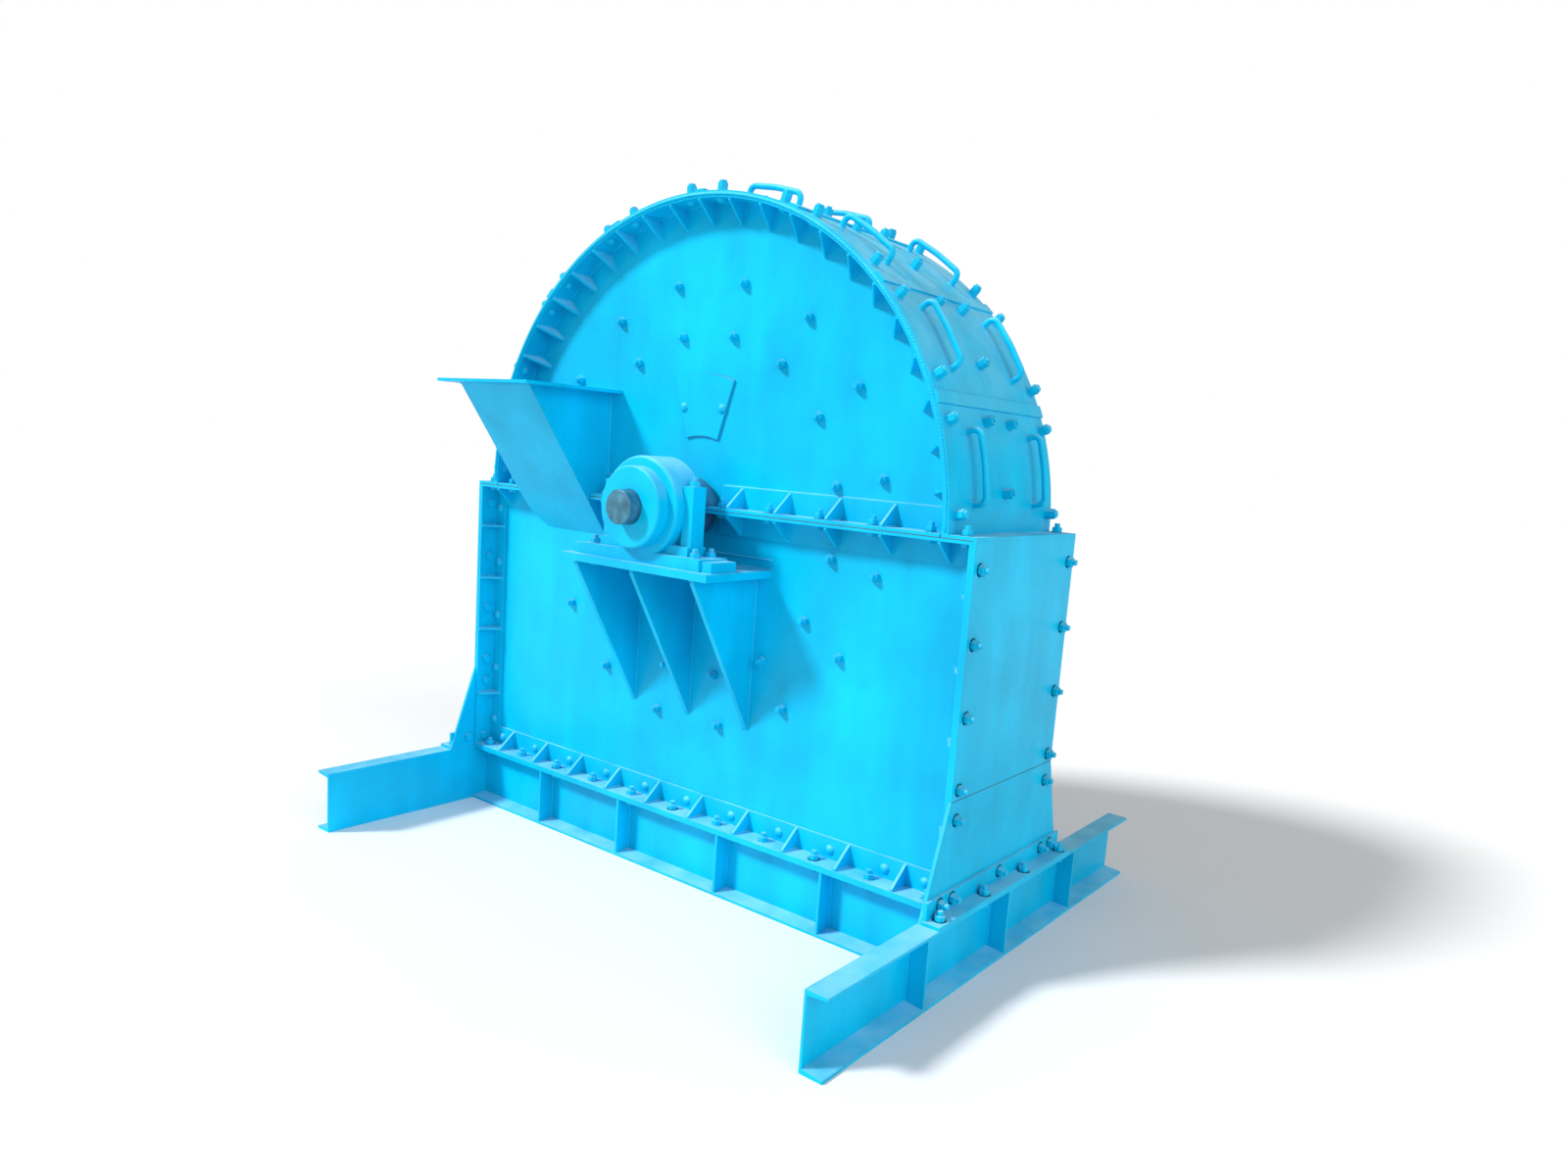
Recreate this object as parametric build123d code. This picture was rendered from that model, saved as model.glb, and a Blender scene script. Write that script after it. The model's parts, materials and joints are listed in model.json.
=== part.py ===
from build123d import *
import os
from math import atan2, cos, degrees, radians, sin, sqrt

# Hammer mill: a half-round hood bolted on a rectangular casing, standing on a channel skid, with a
# hammer rotor carried by two plummer blocks on brackets outside the walls.
# Origin: bottom centre of the skid. +X runs along the feed side, +Y towards the drive end, +Z up.
# Lengths are in millimetres, angles in degrees, measured about the shaft from +X towards +Z.

# Skid
SKID_LENGTH = 2180
SKID_WEB_INSET = 14
CHANNEL_HEIGHT = 250
CHANNEL_FLANGE = 80
CHANNEL_WEB_T = 9
CHANNEL_ROOT_T = 17
CHANNEL_EDGE_T = 10
SKID_STIFFENER_T = 10
STIFFENER_SETBACK = 3
CROSS_STIFFENERS_PAST_BOLTS = {1: 37.147, 3: 59.44}
LONG_STIFFENERS_Y = (-550, 0, 550)

# Casing
SHAFT_HEIGHT = 1456
CASING_LENGTH = 2482
CASING_DEPTH = 560
WALL_T = 16
END_PLATE_T = 12
ANGLE_OUT = 96
ANGLE_UP = 90
ANGLE_T = 12
CORNER_LEG = 70
SEAM_HEIGHT = 621
SKIRT_FLARE = 124
BASE_ANGLE_LEG = 66
BASE_ANGLE_UP = 72
BASE_ANGLE_TRIM = 8
GUSSET_T = 10
GUSSET_SETBACK = 2
GUSSET_NOSE = 8
GUSSET_CHUTE_GAP = 20
BOTTOM_GUSSETS = 10
BOTTOM_END_SHARE = 0.556
SPLIT_GUSSET_PITCH = 222
SPLIT_GUSSETS_PER_SIDE = 5
CORNER_GUSSET_DROPS = (188, 423, 658, 959)

# Hood
BAND_INNER_R = 1115
BAND_T = 12
COVER_T = 12
COVER_COUNT = 8
RIM_GUSSET_PITCH = 7.5
RIM_GUSSET_REACH = 85
STRAP_WIDTH = 44
STRAP_T = 8
LEDGE_T = 12
HANDLE_BAR_R = 11
HANDLE_STAND_OFF = 60
HANDLE_SWEEP = 11.8
HANDLE_BEND_R = 26
HANDLE_CROWN_R = 400
HANDLE_Y = 220

# Inspection hatch in the hood's front wall
HATCH_INNER_R = 270
HATCH_OUTER_R = 500
HATCH_HALF_ANGLE = 17
HATCH_T = 10
HATCH_LAP = 30
HATCH_LAP_ANGLE = 5

# Feed chute
CHUTE_LEFT = -942
CHUTE_RIGHT = -514
CHUTE_ABOVE_SHAFT = 417
CHUTE_BELOW_SHAFT = 160
CHUTE_REACH = 420
CHUTE_T = 6
CHUTE_CORNER_R = 120
CHUTE_FLANGE = 64
CHUTE_FLANGE_T = 12
CHUTE_BACK_BAR = 40
CHUTE_OPENING_DROP = 33

# Liners and grate
SIDE_LINER_T = 16
HOOD_LINER_T = 40
HOOD_LINER_SEAM = 0.1
LINER_HOLE_R = 104
GRATE_INNER_R = 1070
GRATE_BAR_DEPTH = 40
GRATE_BAR_WIDTH = 30
GRATE_PITCH = 6
GRATE_START = 192
GRATE_RAIL_DEPTH = 30
GRATE_RAIL_WIDTH = 50
GRATE_RAIL_OVERHANG = 2
LINER_RINGS = (841, 648.5)
LINER_BOLTS_PER_RING = 16

# Bearing brackets and plummer blocks
BRACKET_REACH = 355
BRACKET_WIDTH = 750
BRACKET_PLATE_T = 28
BRACKET_RIB_T = 20
BRACKET_RIB_SETBACK = 12
BRACKET_RIB_NOSE = 14
BRACKET_RIBS_X = (-300, 0, 300)
BRACKET_RIB_DROP = 588
SHAFT_ABOVE_BRACKET = 200
HOUSING_FROM_WALL = 245
HOUSING_WIDTH = 150
HOUSING_OUTER_R = 185
HOUSING_BORE_R = 130
FOOT_LENGTH = 610
FOOT_WIDTH = 150
FOOT_T = 42
LUG_X = 200
LUG_WIDTH = 48
LUG_DEPTH = 66
LUG_HEIGHT = 88
LUG_WEB_DEPTH = 26
LUG_WEB_DROP = 24
PEDESTAL_RISE = 34
PEDESTAL_DEPTH = 96
HOUSING_FILLET = 12
END_COVER_R = 148
END_COVER_T = 50
END_COVER_FILLET = 8
END_COVER_RELIEF = (4, 20)
INNER_COVER_RELIEF = (6, 12)
INNER_COVER_T = 20
FOOT_BOLT_X = 256
FOOT_BOLT_PITCH_Y = 84
STOP_BLOCK = (50, 130, 36)

# Roller bearings
BEARING_WIDTH = 80
OUTER_RING_INNER_R = 112
INNER_RING_OUTER_R = 88
ROLLER_COUNT = 20
ROLLER_CLEARANCE = 0.3
CAGE_T = 6
CAGE_SIDE_T = 5
CAGE_END_GAP = 2
CAGE_POCKET_CLEARANCE = 0.4

# Shaft and rotor
JOURNAL_R = 70
STUB_R = 62.5
STUB_REACH = 180
DRIVE_R = 60
DRIVE_SHOULDER_REACH = 145
DRIVE_REACH = 380
NECK_STEP = 10
ROTOR_SEAT_STEP = 15
DRIVE_KEYWAY = (150, 32, 11)
KEYWAY_SETBACK = 20
SHAFT_CHAMFER = 3
KEY_WIDTH = 40
KEY_HEIGHT = 22
SEAL_COLLAR_R = 110
SEAL_COLLAR_WIDTH = 90
SEAL_COLLAR_GAP = 20
DISC_R = 720
DISC_T = 25
DISC_COUNT = 5
DISC_PITCH = 105
SPACER_R = 135
PIN_CIRCLE_R = 640
PIN_R = 30
PIN_COLLAR_R = 44
PIN_COLLAR_T = 10
HAMMER_ROWS = 4
HAMMER_T = 40
HAMMER_WIDTH = 110
HAMMER_REACH = 400
HAMMER_SPACER_R = 50

# Fasteners
BOLT_R = 10
NUT_R = 19
NUT_H = 18
STUD_TIP = 14
TALL_NUT_R = 19
TALL_NUT_H = 34
TALL_STUD_TIP = 8
DOME_R = 19
DOME_H = 12
BOLT_HEAD_H = 14
CAP_STUD_GRIP = 60
CAP_HOLE_DEPTH = 200
DRILL_DEPTH = 60
DEEP_DRILL_DEPTH = 100

# Bolt places
SPLIT_NUT_INSET = 55
BOTTOM_DOME_OFFSET = 80
CORNER_DOME_COUNT = 5
CORNER_DOME_DROP = 18
CORNER_DOME_PITCH = 245
END_BOLT_COUNT = 4
END_BOLT_DROP = 89
END_BOLT_PITCH = 237
SKIRT_BOLT_DROP = 66
BASE_BOLT_RISE = 46
BASE_LEG_BOLT_MARGIN = 36
BASE_FOOT_BOLT_MARGIN = 74
BASE_FOOT_BOLT_INNER = 150
BOLT_SHIFT_X = 4
HATCH_BOLT_X = 96
HATCH_BOLT_DROP = 12
COVER_BOLT_Y = 84
COVER_BOLT_UPPER = 3.4
COVER_BOLT_LOWER = 7.2

# Clearances
HOLE_CLEARANCE = 1
SHAFT_WALL_CLEARANCE = 4
SHAFT_COVER_CLEARANCE = 1
PIN_CLEARANCE = 0.3
HAMMER_BORE_CLEARANCE = 0.5
HAMMER_SIDE_CLEARANCE = 0.5
KEY_CLEARANCE = 0.2
ROTOR_END_GAP = 5
RIM_GUSSET_CLEARANCE = 0.02
LINER_GAP = 2
SHAFT_FLANGE_GAP = 10

# Derived places
CASING_HALF = CASING_LENGTH / 2
PLATE_INNER_X = CASING_HALF - END_PLATE_T
WALL_OUT = CASING_DEPTH / 2
WALL_IN = WALL_OUT - WALL_T
FLANGE_EDGE = WALL_OUT + ANGLE_OUT
LEG_FACE = WALL_OUT + ANGLE_T
BOLT_LINE = (LEG_FACE + FLANGE_EDGE) / 2
WEB_X = CASING_HALF - SKID_WEB_INSET
BEAM_EDGE = WEB_X + CHANNEL_FLANGE
CASING_BOTTOM = CHANNEL_HEIGHT
COVER_IN_R = BAND_INNER_R + BAND_T
COVER_OUT_R = COVER_IN_R + COVER_T
COVER_SWEEP = 180 / COVER_COUNT
NECK_R = JOURNAL_R + NECK_STEP
ROTOR_SEAT_R = NECK_R + ROTOR_SEAT_STEP
SHAFT_HOLE_R = NECK_R + SHAFT_WALL_CLEARANCE
CHUTE_TOP = SHAFT_HEIGHT + CHUTE_ABOVE_SHAFT
CHUTE_BOTTOM = SHAFT_HEIGHT - CHUTE_BELOW_SHAFT
CHUTE_OPENING_TOP = CHUTE_TOP - CHUTE_OPENING_DROP
CHAMBER_HALF = WALL_IN - SIDE_LINER_T
HOOD_LINER_R = COVER_IN_R - HOOD_LINER_T
GRATE_OUTER_R = GRATE_INNER_R + GRATE_BAR_DEPTH
BRACKET_TOP = SHAFT_HEIGHT - SHAFT_ABOVE_BRACKET
BRACKET_RIB_FOOT = BRACKET_TOP - BRACKET_PLATE_T - BRACKET_RIB_DROP
HOUSING_CENTRE_Y = WALL_OUT + HOUSING_FROM_WALL
STUB_END = HOUSING_CENTRE_Y + STUB_REACH
DRIVE_SHOULDER = HOUSING_CENTRE_Y + DRIVE_SHOULDER_REACH
DRIVE_END = HOUSING_CENTRE_Y + DRIVE_REACH
HOUSING_FRONT = HOUSING_CENTRE_Y + HOUSING_WIDTH / 2
HOUSING_BACK = HOUSING_CENTRE_Y - HOUSING_WIDTH / 2
BEARING_FRONT = HOUSING_CENTRE_Y + BEARING_WIDTH / 2
BEARING_BACK = HOUSING_CENTRE_Y - BEARING_WIDTH / 2
ROLLER_R = (OUTER_RING_INNER_R - INNER_RING_OUTER_R) / 2 - ROLLER_CLEARANCE
ROLLER_CIRCLE_R = (OUTER_RING_INNER_R + INNER_RING_OUTER_R) / 2
DISC_STACK_HALF = DISC_PITCH * (DISC_COUNT - 1) / 2 + DISC_T / 2
DISC_GAP = DISC_PITCH - DISC_T
HAMMER_SPACER_L = (DISC_GAP - HAMMER_T) / 2 - HAMMER_SIDE_CLEARANCE
HOLE_R = BOLT_R + HOLE_CLEARANCE
BOTTOM_GUSSET_PITCH = 2 * PLATE_INNER_X / (BOTTOM_GUSSETS + BOTTOM_END_SHARE)
DRIVE_SIDE = Plane.XZ


# Shapes
def box(x0, x1, y0, y1, z0, z1):
    """A block between two corners."""
    return Pos((x0 + x1) / 2, (y0 + y1) / 2, (z0 + z1) / 2) * Box(x1 - x0, y1 - y0, z1 - z0)


def rod(point, direction, radius, length):
    """A cylinder that starts at a point and runs along a direction."""
    bar = Cylinder(radius, length, align=(Align.CENTER, Align.CENTER, Align.MIN))
    return Plane(origin=point, z_dir=direction) * bar


def shaft_rod(radius, y0, y1, x=0, z=SHAFT_HEIGHT):
    """A cylinder along Y between two places."""
    return rod((x, y0, z), (0, 1, 0), radius, y1 - y0)


def tube(r_in, r_out, y0, y1, x=0, z=SHAFT_HEIGHT):
    """A ring along Y between two places."""
    return shaft_rod(r_out, y0, y1, x, z) - shaft_rod(r_in, y0 - 1, y1 + 1, x, z)


def wall_plane(y):
    """A plane facing the feed side at y, with its local Y up and its origin at the shaft."""
    return Plane(origin=(0, y, SHAFT_HEIGHT), x_dir=(1, 0, 0), z_dir=(0, -1, 0))


def sector(r_in, r_out, a0, a1, y0, y1):
    """A piece of a ring about the shaft between two angles."""
    outer = CenterArc((0, 0), r_out, a0, a1 - a0)
    inner = CenterArc((0, 0), r_in, a0, a1 - a0)
    outline = [outer, inner, Line(outer @ 0, inner @ 0), Line(outer @ 1, inner @ 1)]
    return extrude(wall_plane(y1) * make_face(outline), y1 - y0)


def plate_x(points, x0, x1):
    """A plate whose outline is given as (y, z), between two places along X."""
    plane = Plane(origin=(x0, 0, 0), x_dir=(0, 1, 0), z_dir=(1, 0, 0))
    return extrude(plane * make_face(Polyline(*points, close=True)), x1 - x0)


def plate_y(points, y0, y1):
    """A plate whose outline is given as (x, z), between two places along Y."""
    plane = Plane(origin=(0, y1, 0), x_dir=(1, 0, 0), z_dir=(0, -1, 0))
    return extrude(plane * make_face(Polyline(*points, close=True)), y1 - y0)


def polar(radius, angle):
    """The (x, z) point at a radius and an angle about the shaft."""
    return radius * cos(radians(angle)), SHAFT_HEIGHT + radius * sin(radians(angle))


def radial_dir(angle):
    """The direction that points away from the shaft at an angle."""
    return (cos(radians(angle)), 0, sin(radians(angle)))


def mirrored(shape):
    """The same shape on the drive side."""
    return shape.mirror(DRIVE_SIDE)


def both_sides(shapes):
    """Shapes on the feed side, and their mirror images on the drive side."""
    return shapes + [mirrored(shape) for shape in shapes]


def left_and_right(shapes):
    """Shapes on the right, and their mirror images on the left."""
    return shapes + [shape.mirror(Plane.YZ) for shape in shapes]


def solids_of(item):
    """Every solid in a shape or in a list of shapes."""
    if isinstance(item, (list, tuple)):
        return [solid for part in item for solid in solids_of(part)]
    return list(item.solids())


def save(node, item):
    """Write one node."""
    export_step(Compound(children=solids_of(item)), f"parts/{node}.step")


# Fasteners: each is made along +Z, with the seat of its nut or head at z = 0
def nut_and_stud(grip, nut_r=NUT_R, nut_h=NUT_H, tip=STUD_TIP, inner_head=0):
    """A hex nut on a stud, with an optional head at the far end of the grip."""
    nut = extrude(RegularPolygon(radius=nut_r, side_count=6), nut_h)
    standing = (Align.CENTER, Align.CENTER, Align.MIN)
    shank = Pos(0, 0, -grip) * Cylinder(BOLT_R, grip + nut_h + tip, align=standing)
    bolt = nut + shank
    if inner_head:
        head = extrude(RegularPolygon(radius=nut_r, side_count=6), inner_head)
        bolt += Pos(0, 0, -grip - inner_head) * head
    return bolt


def dome_bolt(grip, tip_nut=0):
    """A round-headed bolt, with an optional nut at the far end of the grip."""
    sphere_r = (DOME_R ** 2 + DOME_H ** 2) / (2 * DOME_H)
    head = Pos(0, 0, DOME_H - sphere_r) * Sphere(sphere_r)
    head &= Pos(0, 0, DOME_H) * Box(3 * DOME_R, 3 * DOME_R, 2 * DOME_H)
    bolt = head + Pos(0, 0, -grip) * Cylinder(BOLT_R, grip + 1, align=(Align.CENTER, Align.CENTER, Align.MIN))
    if tip_nut:
        bolt += Pos(0, 0, -grip - tip_nut) * extrude(RegularPolygon(radius=NUT_R, side_count=6), tip_nut)
    return bolt


def place(prototype, spots):
    """Copies of a fastener at (point, direction) spots."""
    return [Plane(origin=point, z_dir=direction).location * prototype for point, direction in spots]


def drill(shape, spots, depth, radius=HOLE_R):
    """The shape with a hole along each fastener that reaches this far below its seat."""
    tools = []
    for point, direction in spots:
        start = Vector(*point) - Vector(*direction) * depth
        tools.append(rod(start, direction, radius, depth + 1))
    return shape - tools if tools else shape


def spots_mirrored(spots):
    """Fastener spots on the drive side."""
    return [((x, -y, z), (a, -b, c)) for (x, y, z), (a, b, c) in spots]


# Fastener spots, feed side first
def over_chute(x, z, margin=30):
    """Whether a point of the front wall lies behind the feed chute."""
    return CHUTE_LEFT - margin < x < CHUTE_RIGHT + margin and CHUTE_BOTTOM - margin < z < CHUTE_TOP + margin


def liner_spots(upper):
    """Liner bolts of the hood wall or of the lower wall."""
    spots = []
    for ring in LINER_RINGS:
        for k in range(LINER_BOLTS_PER_RING):
            angle = (k + 0.5) * 360 / LINER_BOLTS_PER_RING
            x, z = polar(ring, angle)
            if (angle < 180) == upper:
                spots.append(((x, -WALL_OUT, z), (0, -1, 0)))
    return spots


def split_spots():
    """Bolts along the split flange."""
    places = [SPLIT_GUSSET_PITCH * k - SPLIT_NUT_INSET for k in range(1, SPLIT_GUSSETS_PER_SIDE + 1)]
    xs = [-x for x in reversed(places)] + places
    return [((x, -BOLT_LINE, SHAFT_HEIGHT + ANGLE_T), (0, 0, 1)) for x in xs]


def bottom_gussets_x():
    """Gusset places along the bottom flange."""
    return [BOTTOM_GUSSET_PITCH * (k - (BOTTOM_GUSSETS - 1) / 2) for k in range(BOTTOM_GUSSETS)]


def bottom_spots():
    """Bolts that hold the casing down on a cross beam."""
    half = BOTTOM_GUSSETS // 2
    xs = [BOTTOM_GUSSET_PITCH * k for k in range(-half, half + 1)]
    return [((x, -BOLT_LINE, CASING_BOTTOM + ANGLE_T), (0, 0, 1)) for x in xs]


def bottom_dome_spots():
    """Round heads on the bottom angle's upright leg."""
    xs = [x - BOTTOM_DOME_OFFSET for x in bottom_gussets_x()]
    xs.append(-xs[0])
    return [((x, -LEG_FACE, CASING_BOTTOM + ANGLE_UP / 2), (0, -1, 0)) for x in xs]


def corner_dome_spots():
    """Round heads on the wall legs of the two corner angles."""
    first = SHAFT_HEIGHT - ANGLE_UP - CORNER_DOME_DROP
    zs = [first - CORNER_DOME_PITCH * k for k in range(CORNER_DOME_COUNT)]
    x = PLATE_INNER_X - CORNER_LEG / 2
    return [((side * x, -LEG_FACE, z), (0, -1, 0)) for side in (-1, 1) for z in zs]


def end_spots():
    """Bolts through the right end plate and the corner flanges, feed side."""
    zs = [SHAFT_HEIGHT - END_BOLT_DROP - END_BOLT_PITCH * k for k in range(END_BOLT_COUNT)]
    return [((CASING_HALF, -BOLT_LINE, z), (1, 0, 0)) for z in zs]


def skirt_spots():
    """The bolt through the right skirt plate and the corner flange, feed side."""
    return [((CASING_HALF, -BOLT_LINE, SEAM_HEIGHT - SKIRT_BOLT_DROP), (1, 0, 0))]


def base_leg_spots():
    """Bolts through the right base angle's upright leg: ends, corner flange and middle."""
    y_out = FLANGE_EDGE + BASE_LEG_BOLT_MARGIN
    z = CASING_BOTTOM + BASE_BOLT_RISE
    return [((CASING_HALF + ANGLE_T, y, z), (1, 0, 0)) for y in (-y_out, 0, y_out)]


def base_corner_spots():
    """Bolts through the right base angle, the skirt and the corner flange, feed side."""
    return [((CASING_HALF + ANGLE_T, -BOLT_LINE, CASING_BOTTOM + BASE_BOLT_RISE), (1, 0, 0))]


def base_foot_spots():
    """Bolts through the right base angle's foot and the skid flange."""
    x = CASING_HALF + BASE_ANGLE_LEG / 2 + BOLT_SHIFT_X
    y_in, y_out = BASE_FOOT_BOLT_INNER, FLANGE_EDGE + BASE_FOOT_BOLT_MARGIN
    return [((x, y, CASING_BOTTOM + ANGLE_T), (0, 0, 1)) for y in (-y_out, -y_in, y_in, y_out)]


def ledge_spots():
    """Bolts through the two corners of the hood's right end ledge."""
    x = (COVER_OUT_R + CASING_HALF) / 2 - BOLT_SHIFT_X
    z = SHAFT_HEIGHT + LEDGE_T
    return [((x, y, z), (0, 0, 1)) for y in (-BOLT_LINE, BOLT_LINE)]


def hatch_spots():
    """The two hatch bolts."""
    radius = (HATCH_INNER_R + HATCH_OUTER_R) / 2
    return [((x, -WALL_OUT - HATCH_T, SHAFT_HEIGHT + radius - HATCH_BOLT_DROP), (0, -1, 0))
            for x in (-HATCH_BOLT_X, HATCH_BOLT_X)]


def cover_angles(index):
    """The two edge angles of a hood cover, lowest first on the right half."""
    return index * COVER_SWEEP, (index + 1) * COVER_SWEEP


def cover_rim_spots(index):
    """Bolts through a cover and the two rim bands."""
    a0, a1 = cover_angles(index)
    inset = RIM_GUSSET_PITCH / 2
    spots = []
    for angle in (a0 + inset, a1 - inset):
        x, z = polar(COVER_OUT_R, angle)
        spots += [((x, y, z), radial_dir(angle)) for y in (-BOLT_LINE, BOLT_LINE)]
    return spots


def cover_liner_spots(index):
    """Bolts through a cover and its liner: two near the upper edge and one near the lower."""
    a0, a1 = cover_angles(index)
    upper, lower = a1 - COVER_BOLT_UPPER, a0 + COVER_BOLT_LOWER
    if index >= COVER_COUNT / 2:
        upper, lower = a0 + COVER_BOLT_UPPER, a1 - COVER_BOLT_LOWER
    spots = []
    for angle, ys in ((upper, (-COVER_BOLT_Y, COVER_BOLT_Y)), (lower, (0,))):
        x, z = polar(COVER_OUT_R, angle)
        spots += [((x, y, z), radial_dir(angle)) for y in ys]
    return spots


def foot_spots():
    """Foot bolts of the front plummer block."""
    ys = [-HOUSING_CENTRE_Y + side * FOOT_BOLT_PITCH_Y / 2 for side in (-1, 1)]
    return [((side * FOOT_BOLT_X, y, BRACKET_TOP + FOOT_T), (0, 0, 1)) for side in (-1, 1) for y in ys]


def cap_spots():
    """Cap bolts of the front plummer block."""
    return [((side * LUG_X, -HOUSING_CENTRE_Y, SHAFT_HEIGHT + LUG_HEIGHT), (0, 0, 1)) for side in (-1, 1)]


# Skid
def flange_thickness(reach):
    """Thickness of a channel's tapered flange at a distance from the back of its web."""
    taper = (CHANNEL_ROOT_T - CHANNEL_EDGE_T) / (CHANNEL_FLANGE - CHANNEL_WEB_T)
    return CHANNEL_ROOT_T - taper * (reach - CHANNEL_WEB_T)


def channel(length):
    """A channel along Y with its web on X = 0 and its flanges towards +X."""
    points = [(0, 0), (CHANNEL_FLANGE, 0), (CHANNEL_FLANGE, CHANNEL_EDGE_T)]
    points += [(CHANNEL_WEB_T, CHANNEL_ROOT_T), (CHANNEL_WEB_T, CHANNEL_HEIGHT - CHANNEL_ROOT_T)]
    points += [(CHANNEL_FLANGE, CHANNEL_HEIGHT - CHANNEL_EDGE_T), (CHANNEL_FLANGE, CHANNEL_HEIGHT)]
    points += [(0, CHANNEL_HEIGHT)]
    return plate_y(points, -length / 2, length / 2)


def skid():
    """The two long channels, the two cross channels and their stiffeners."""
    right = Pos(WEB_X, 0, 0) * channel(SKID_LENGTH)
    right = drill(right, base_foot_spots(), DRILL_DEPTH)
    cross = Rot(0, 0, -90) * channel(2 * WEB_X)
    cross = Pos(0, -FLANGE_EDGE + CHANNEL_FLANGE, 0) * cross
    cross = drill(cross, bottom_spots(), DRILL_DEPTH)
    save("skid_beam_right", right)
    save("skid_beam_left", right.mirror(Plane.YZ))
    save("cross_beam_front", cross)
    save("cross_beam_rear", mirrored(cross))
    profile = stiffener_outline()
    half = SKID_STIFFENER_T / 2
    web_y = -FLANGE_EDGE + CHANNEL_FLANGE
    xs = [BOTTOM_GUSSET_PITCH * k + past for k, past in CROSS_STIFFENERS_PAST_BOLTS.items()]
    xs = [-x for x in reversed(xs)] + xs
    across = [plate_x([(web_y - u, v) for u, v in profile], x - half, x + half) for x in xs]
    along = [plate_y([(WEB_X + u, v) for u, v in profile], y - half, y + half) for y in LONG_STIFFENERS_Y]
    save("skid_stiffeners", both_sides(across) + left_and_right(along))


def stiffener_outline():
    """The outline of a stiffener between a channel's sloped flanges, from its web outwards."""
    reach = CHANNEL_FLANGE - STIFFENER_SETBACK
    low_out = flange_thickness(reach)
    return [(CHANNEL_WEB_T, CHANNEL_ROOT_T), (reach, low_out), (reach, CHANNEL_HEIGHT - low_out),
            (CHANNEL_WEB_T, CHANNEL_HEIGHT - CHANNEL_ROOT_T)]


# Lower casing
def chute_outline(inset, y):
    """The chute's outline on the wall, its lower left corner rounded, drawn on a plane at y."""
    left = CHUTE_LEFT + inset
    right = CHUTE_RIGHT - inset
    low = CHUTE_BOTTOM + inset - SHAFT_HEIGHT
    high = CHUTE_TOP + 1 - SHAFT_HEIGHT
    radius = CHUTE_CORNER_R - inset
    corner = CenterArc((left + radius, low + radius), radius, 180, 90)
    edges = [corner, Line(corner @ 1, (right, low)), Line((right, low), (right, high)),
             Line((right, high), (left, high)), Line((left, high), corner @ 0)]
    return wall_plane(y) * make_face(edges)


def wall_opening():
    """The cut through the front wall and its liners where the chute feeds in."""
    cut = extrude(chute_outline(CHUTE_T, -CHAMBER_HALF + 5), WALL_OUT - CHAMBER_HALF + 10)
    return cut & box(CHUTE_LEFT, CHUTE_RIGHT, -WALL_OUT - 10, 0, CHUTE_BOTTOM, CHUTE_OPENING_TOP)


def lower_walls():
    """Front and rear plates of the lower casing."""
    plate = box(-PLATE_INNER_X, PLATE_INNER_X, -WALL_OUT, -WALL_IN, CASING_BOTTOM, SHAFT_HEIGHT)
    plate -= shaft_rod(SHAFT_HOLE_R, -WALL_OUT - 1, -WALL_IN + 1)
    plate = drill(plate, bottom_dome_spots() + corner_dome_spots(), LEG_FACE - WALL_IN + 1)
    rear = drill(plate, liner_spots(False), WALL_T + 1)
    front_spots = [spot for spot in liner_spots(False) if not over_chute(spot[0][0], spot[0][2])]
    front = drill(plate, front_spots, WALL_T + 1) - wall_opening()
    save("lower_wall_front", front)
    save("lower_wall_rear", mirrored(rear))


def angle_bar(x0, x1, z, up):
    """An angle along X on the front wall: its flat leg at z, its upright leg above or below it."""
    sign = 1 if up else -1
    points = [(-WALL_OUT, z), (-FLANGE_EDGE, z), (-FLANGE_EDGE, z + sign * ANGLE_T),
              (-LEG_FACE, z + sign * ANGLE_T), (-LEG_FACE, z + sign * ANGLE_UP),
              (-WALL_OUT, z + sign * ANGLE_UP)]
    return plate_x(points, x0, x1)


def split_angles(reach, up, front, bolts):
    """The angles along the split, with gaps for the shaft and, on the feed side, for the chute."""
    gap = SEAL_COLLAR_R + SHAFT_FLANGE_GAP
    spans = [(-reach, -gap), (gap, reach)]
    if front:
        spans = [(-reach, CHUTE_LEFT), (CHUTE_RIGHT, -gap), (gap, reach)]
    return [drill(angle_bar(x0, x1, SHAFT_HEIGHT, up), bolts, DRILL_DEPTH) for x0, x1 in spans]


def corner_angle():
    """The right corner angle of the front wall."""
    flange = box(PLATE_INNER_X - ANGLE_T, PLATE_INNER_X, -FLANGE_EDGE, -WALL_OUT, CASING_BOTTOM, SHAFT_HEIGHT)
    leg = box(PLATE_INNER_X - CORNER_LEG, PLATE_INNER_X, -LEG_FACE, -WALL_OUT,
              CASING_BOTTOM + ANGLE_UP, SHAFT_HEIGHT - ANGLE_UP)
    corner = drill(flange + leg, end_spots() + skirt_spots() + base_corner_spots(), DRILL_DEPTH)
    return drill(corner, corner_dome_spots(), LEG_FACE - WALL_IN + 1)


def lower_frame():
    """Angles round the front and rear walls of the lower casing."""
    reach = PLATE_INNER_X - ANGLE_T
    low = angle_bar(-reach, reach, CASING_BOTTOM, True)
    low = drill(low, bottom_spots(), DRILL_DEPTH)
    low = drill(low, bottom_dome_spots(), LEG_FACE - WALL_IN)
    bolts = split_spots() + ledge_spots() + [((-x, y, z), n) for (x, y, z), n in ledge_spots()]
    corners = left_and_right([corner_angle()])
    front = [low] + corners + split_angles(reach, False, True, bolts)
    rear = [low] + corners + split_angles(reach, False, False, bolts)
    save("lower_frame_angles", front + [mirrored(shape) for shape in rear])


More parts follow.
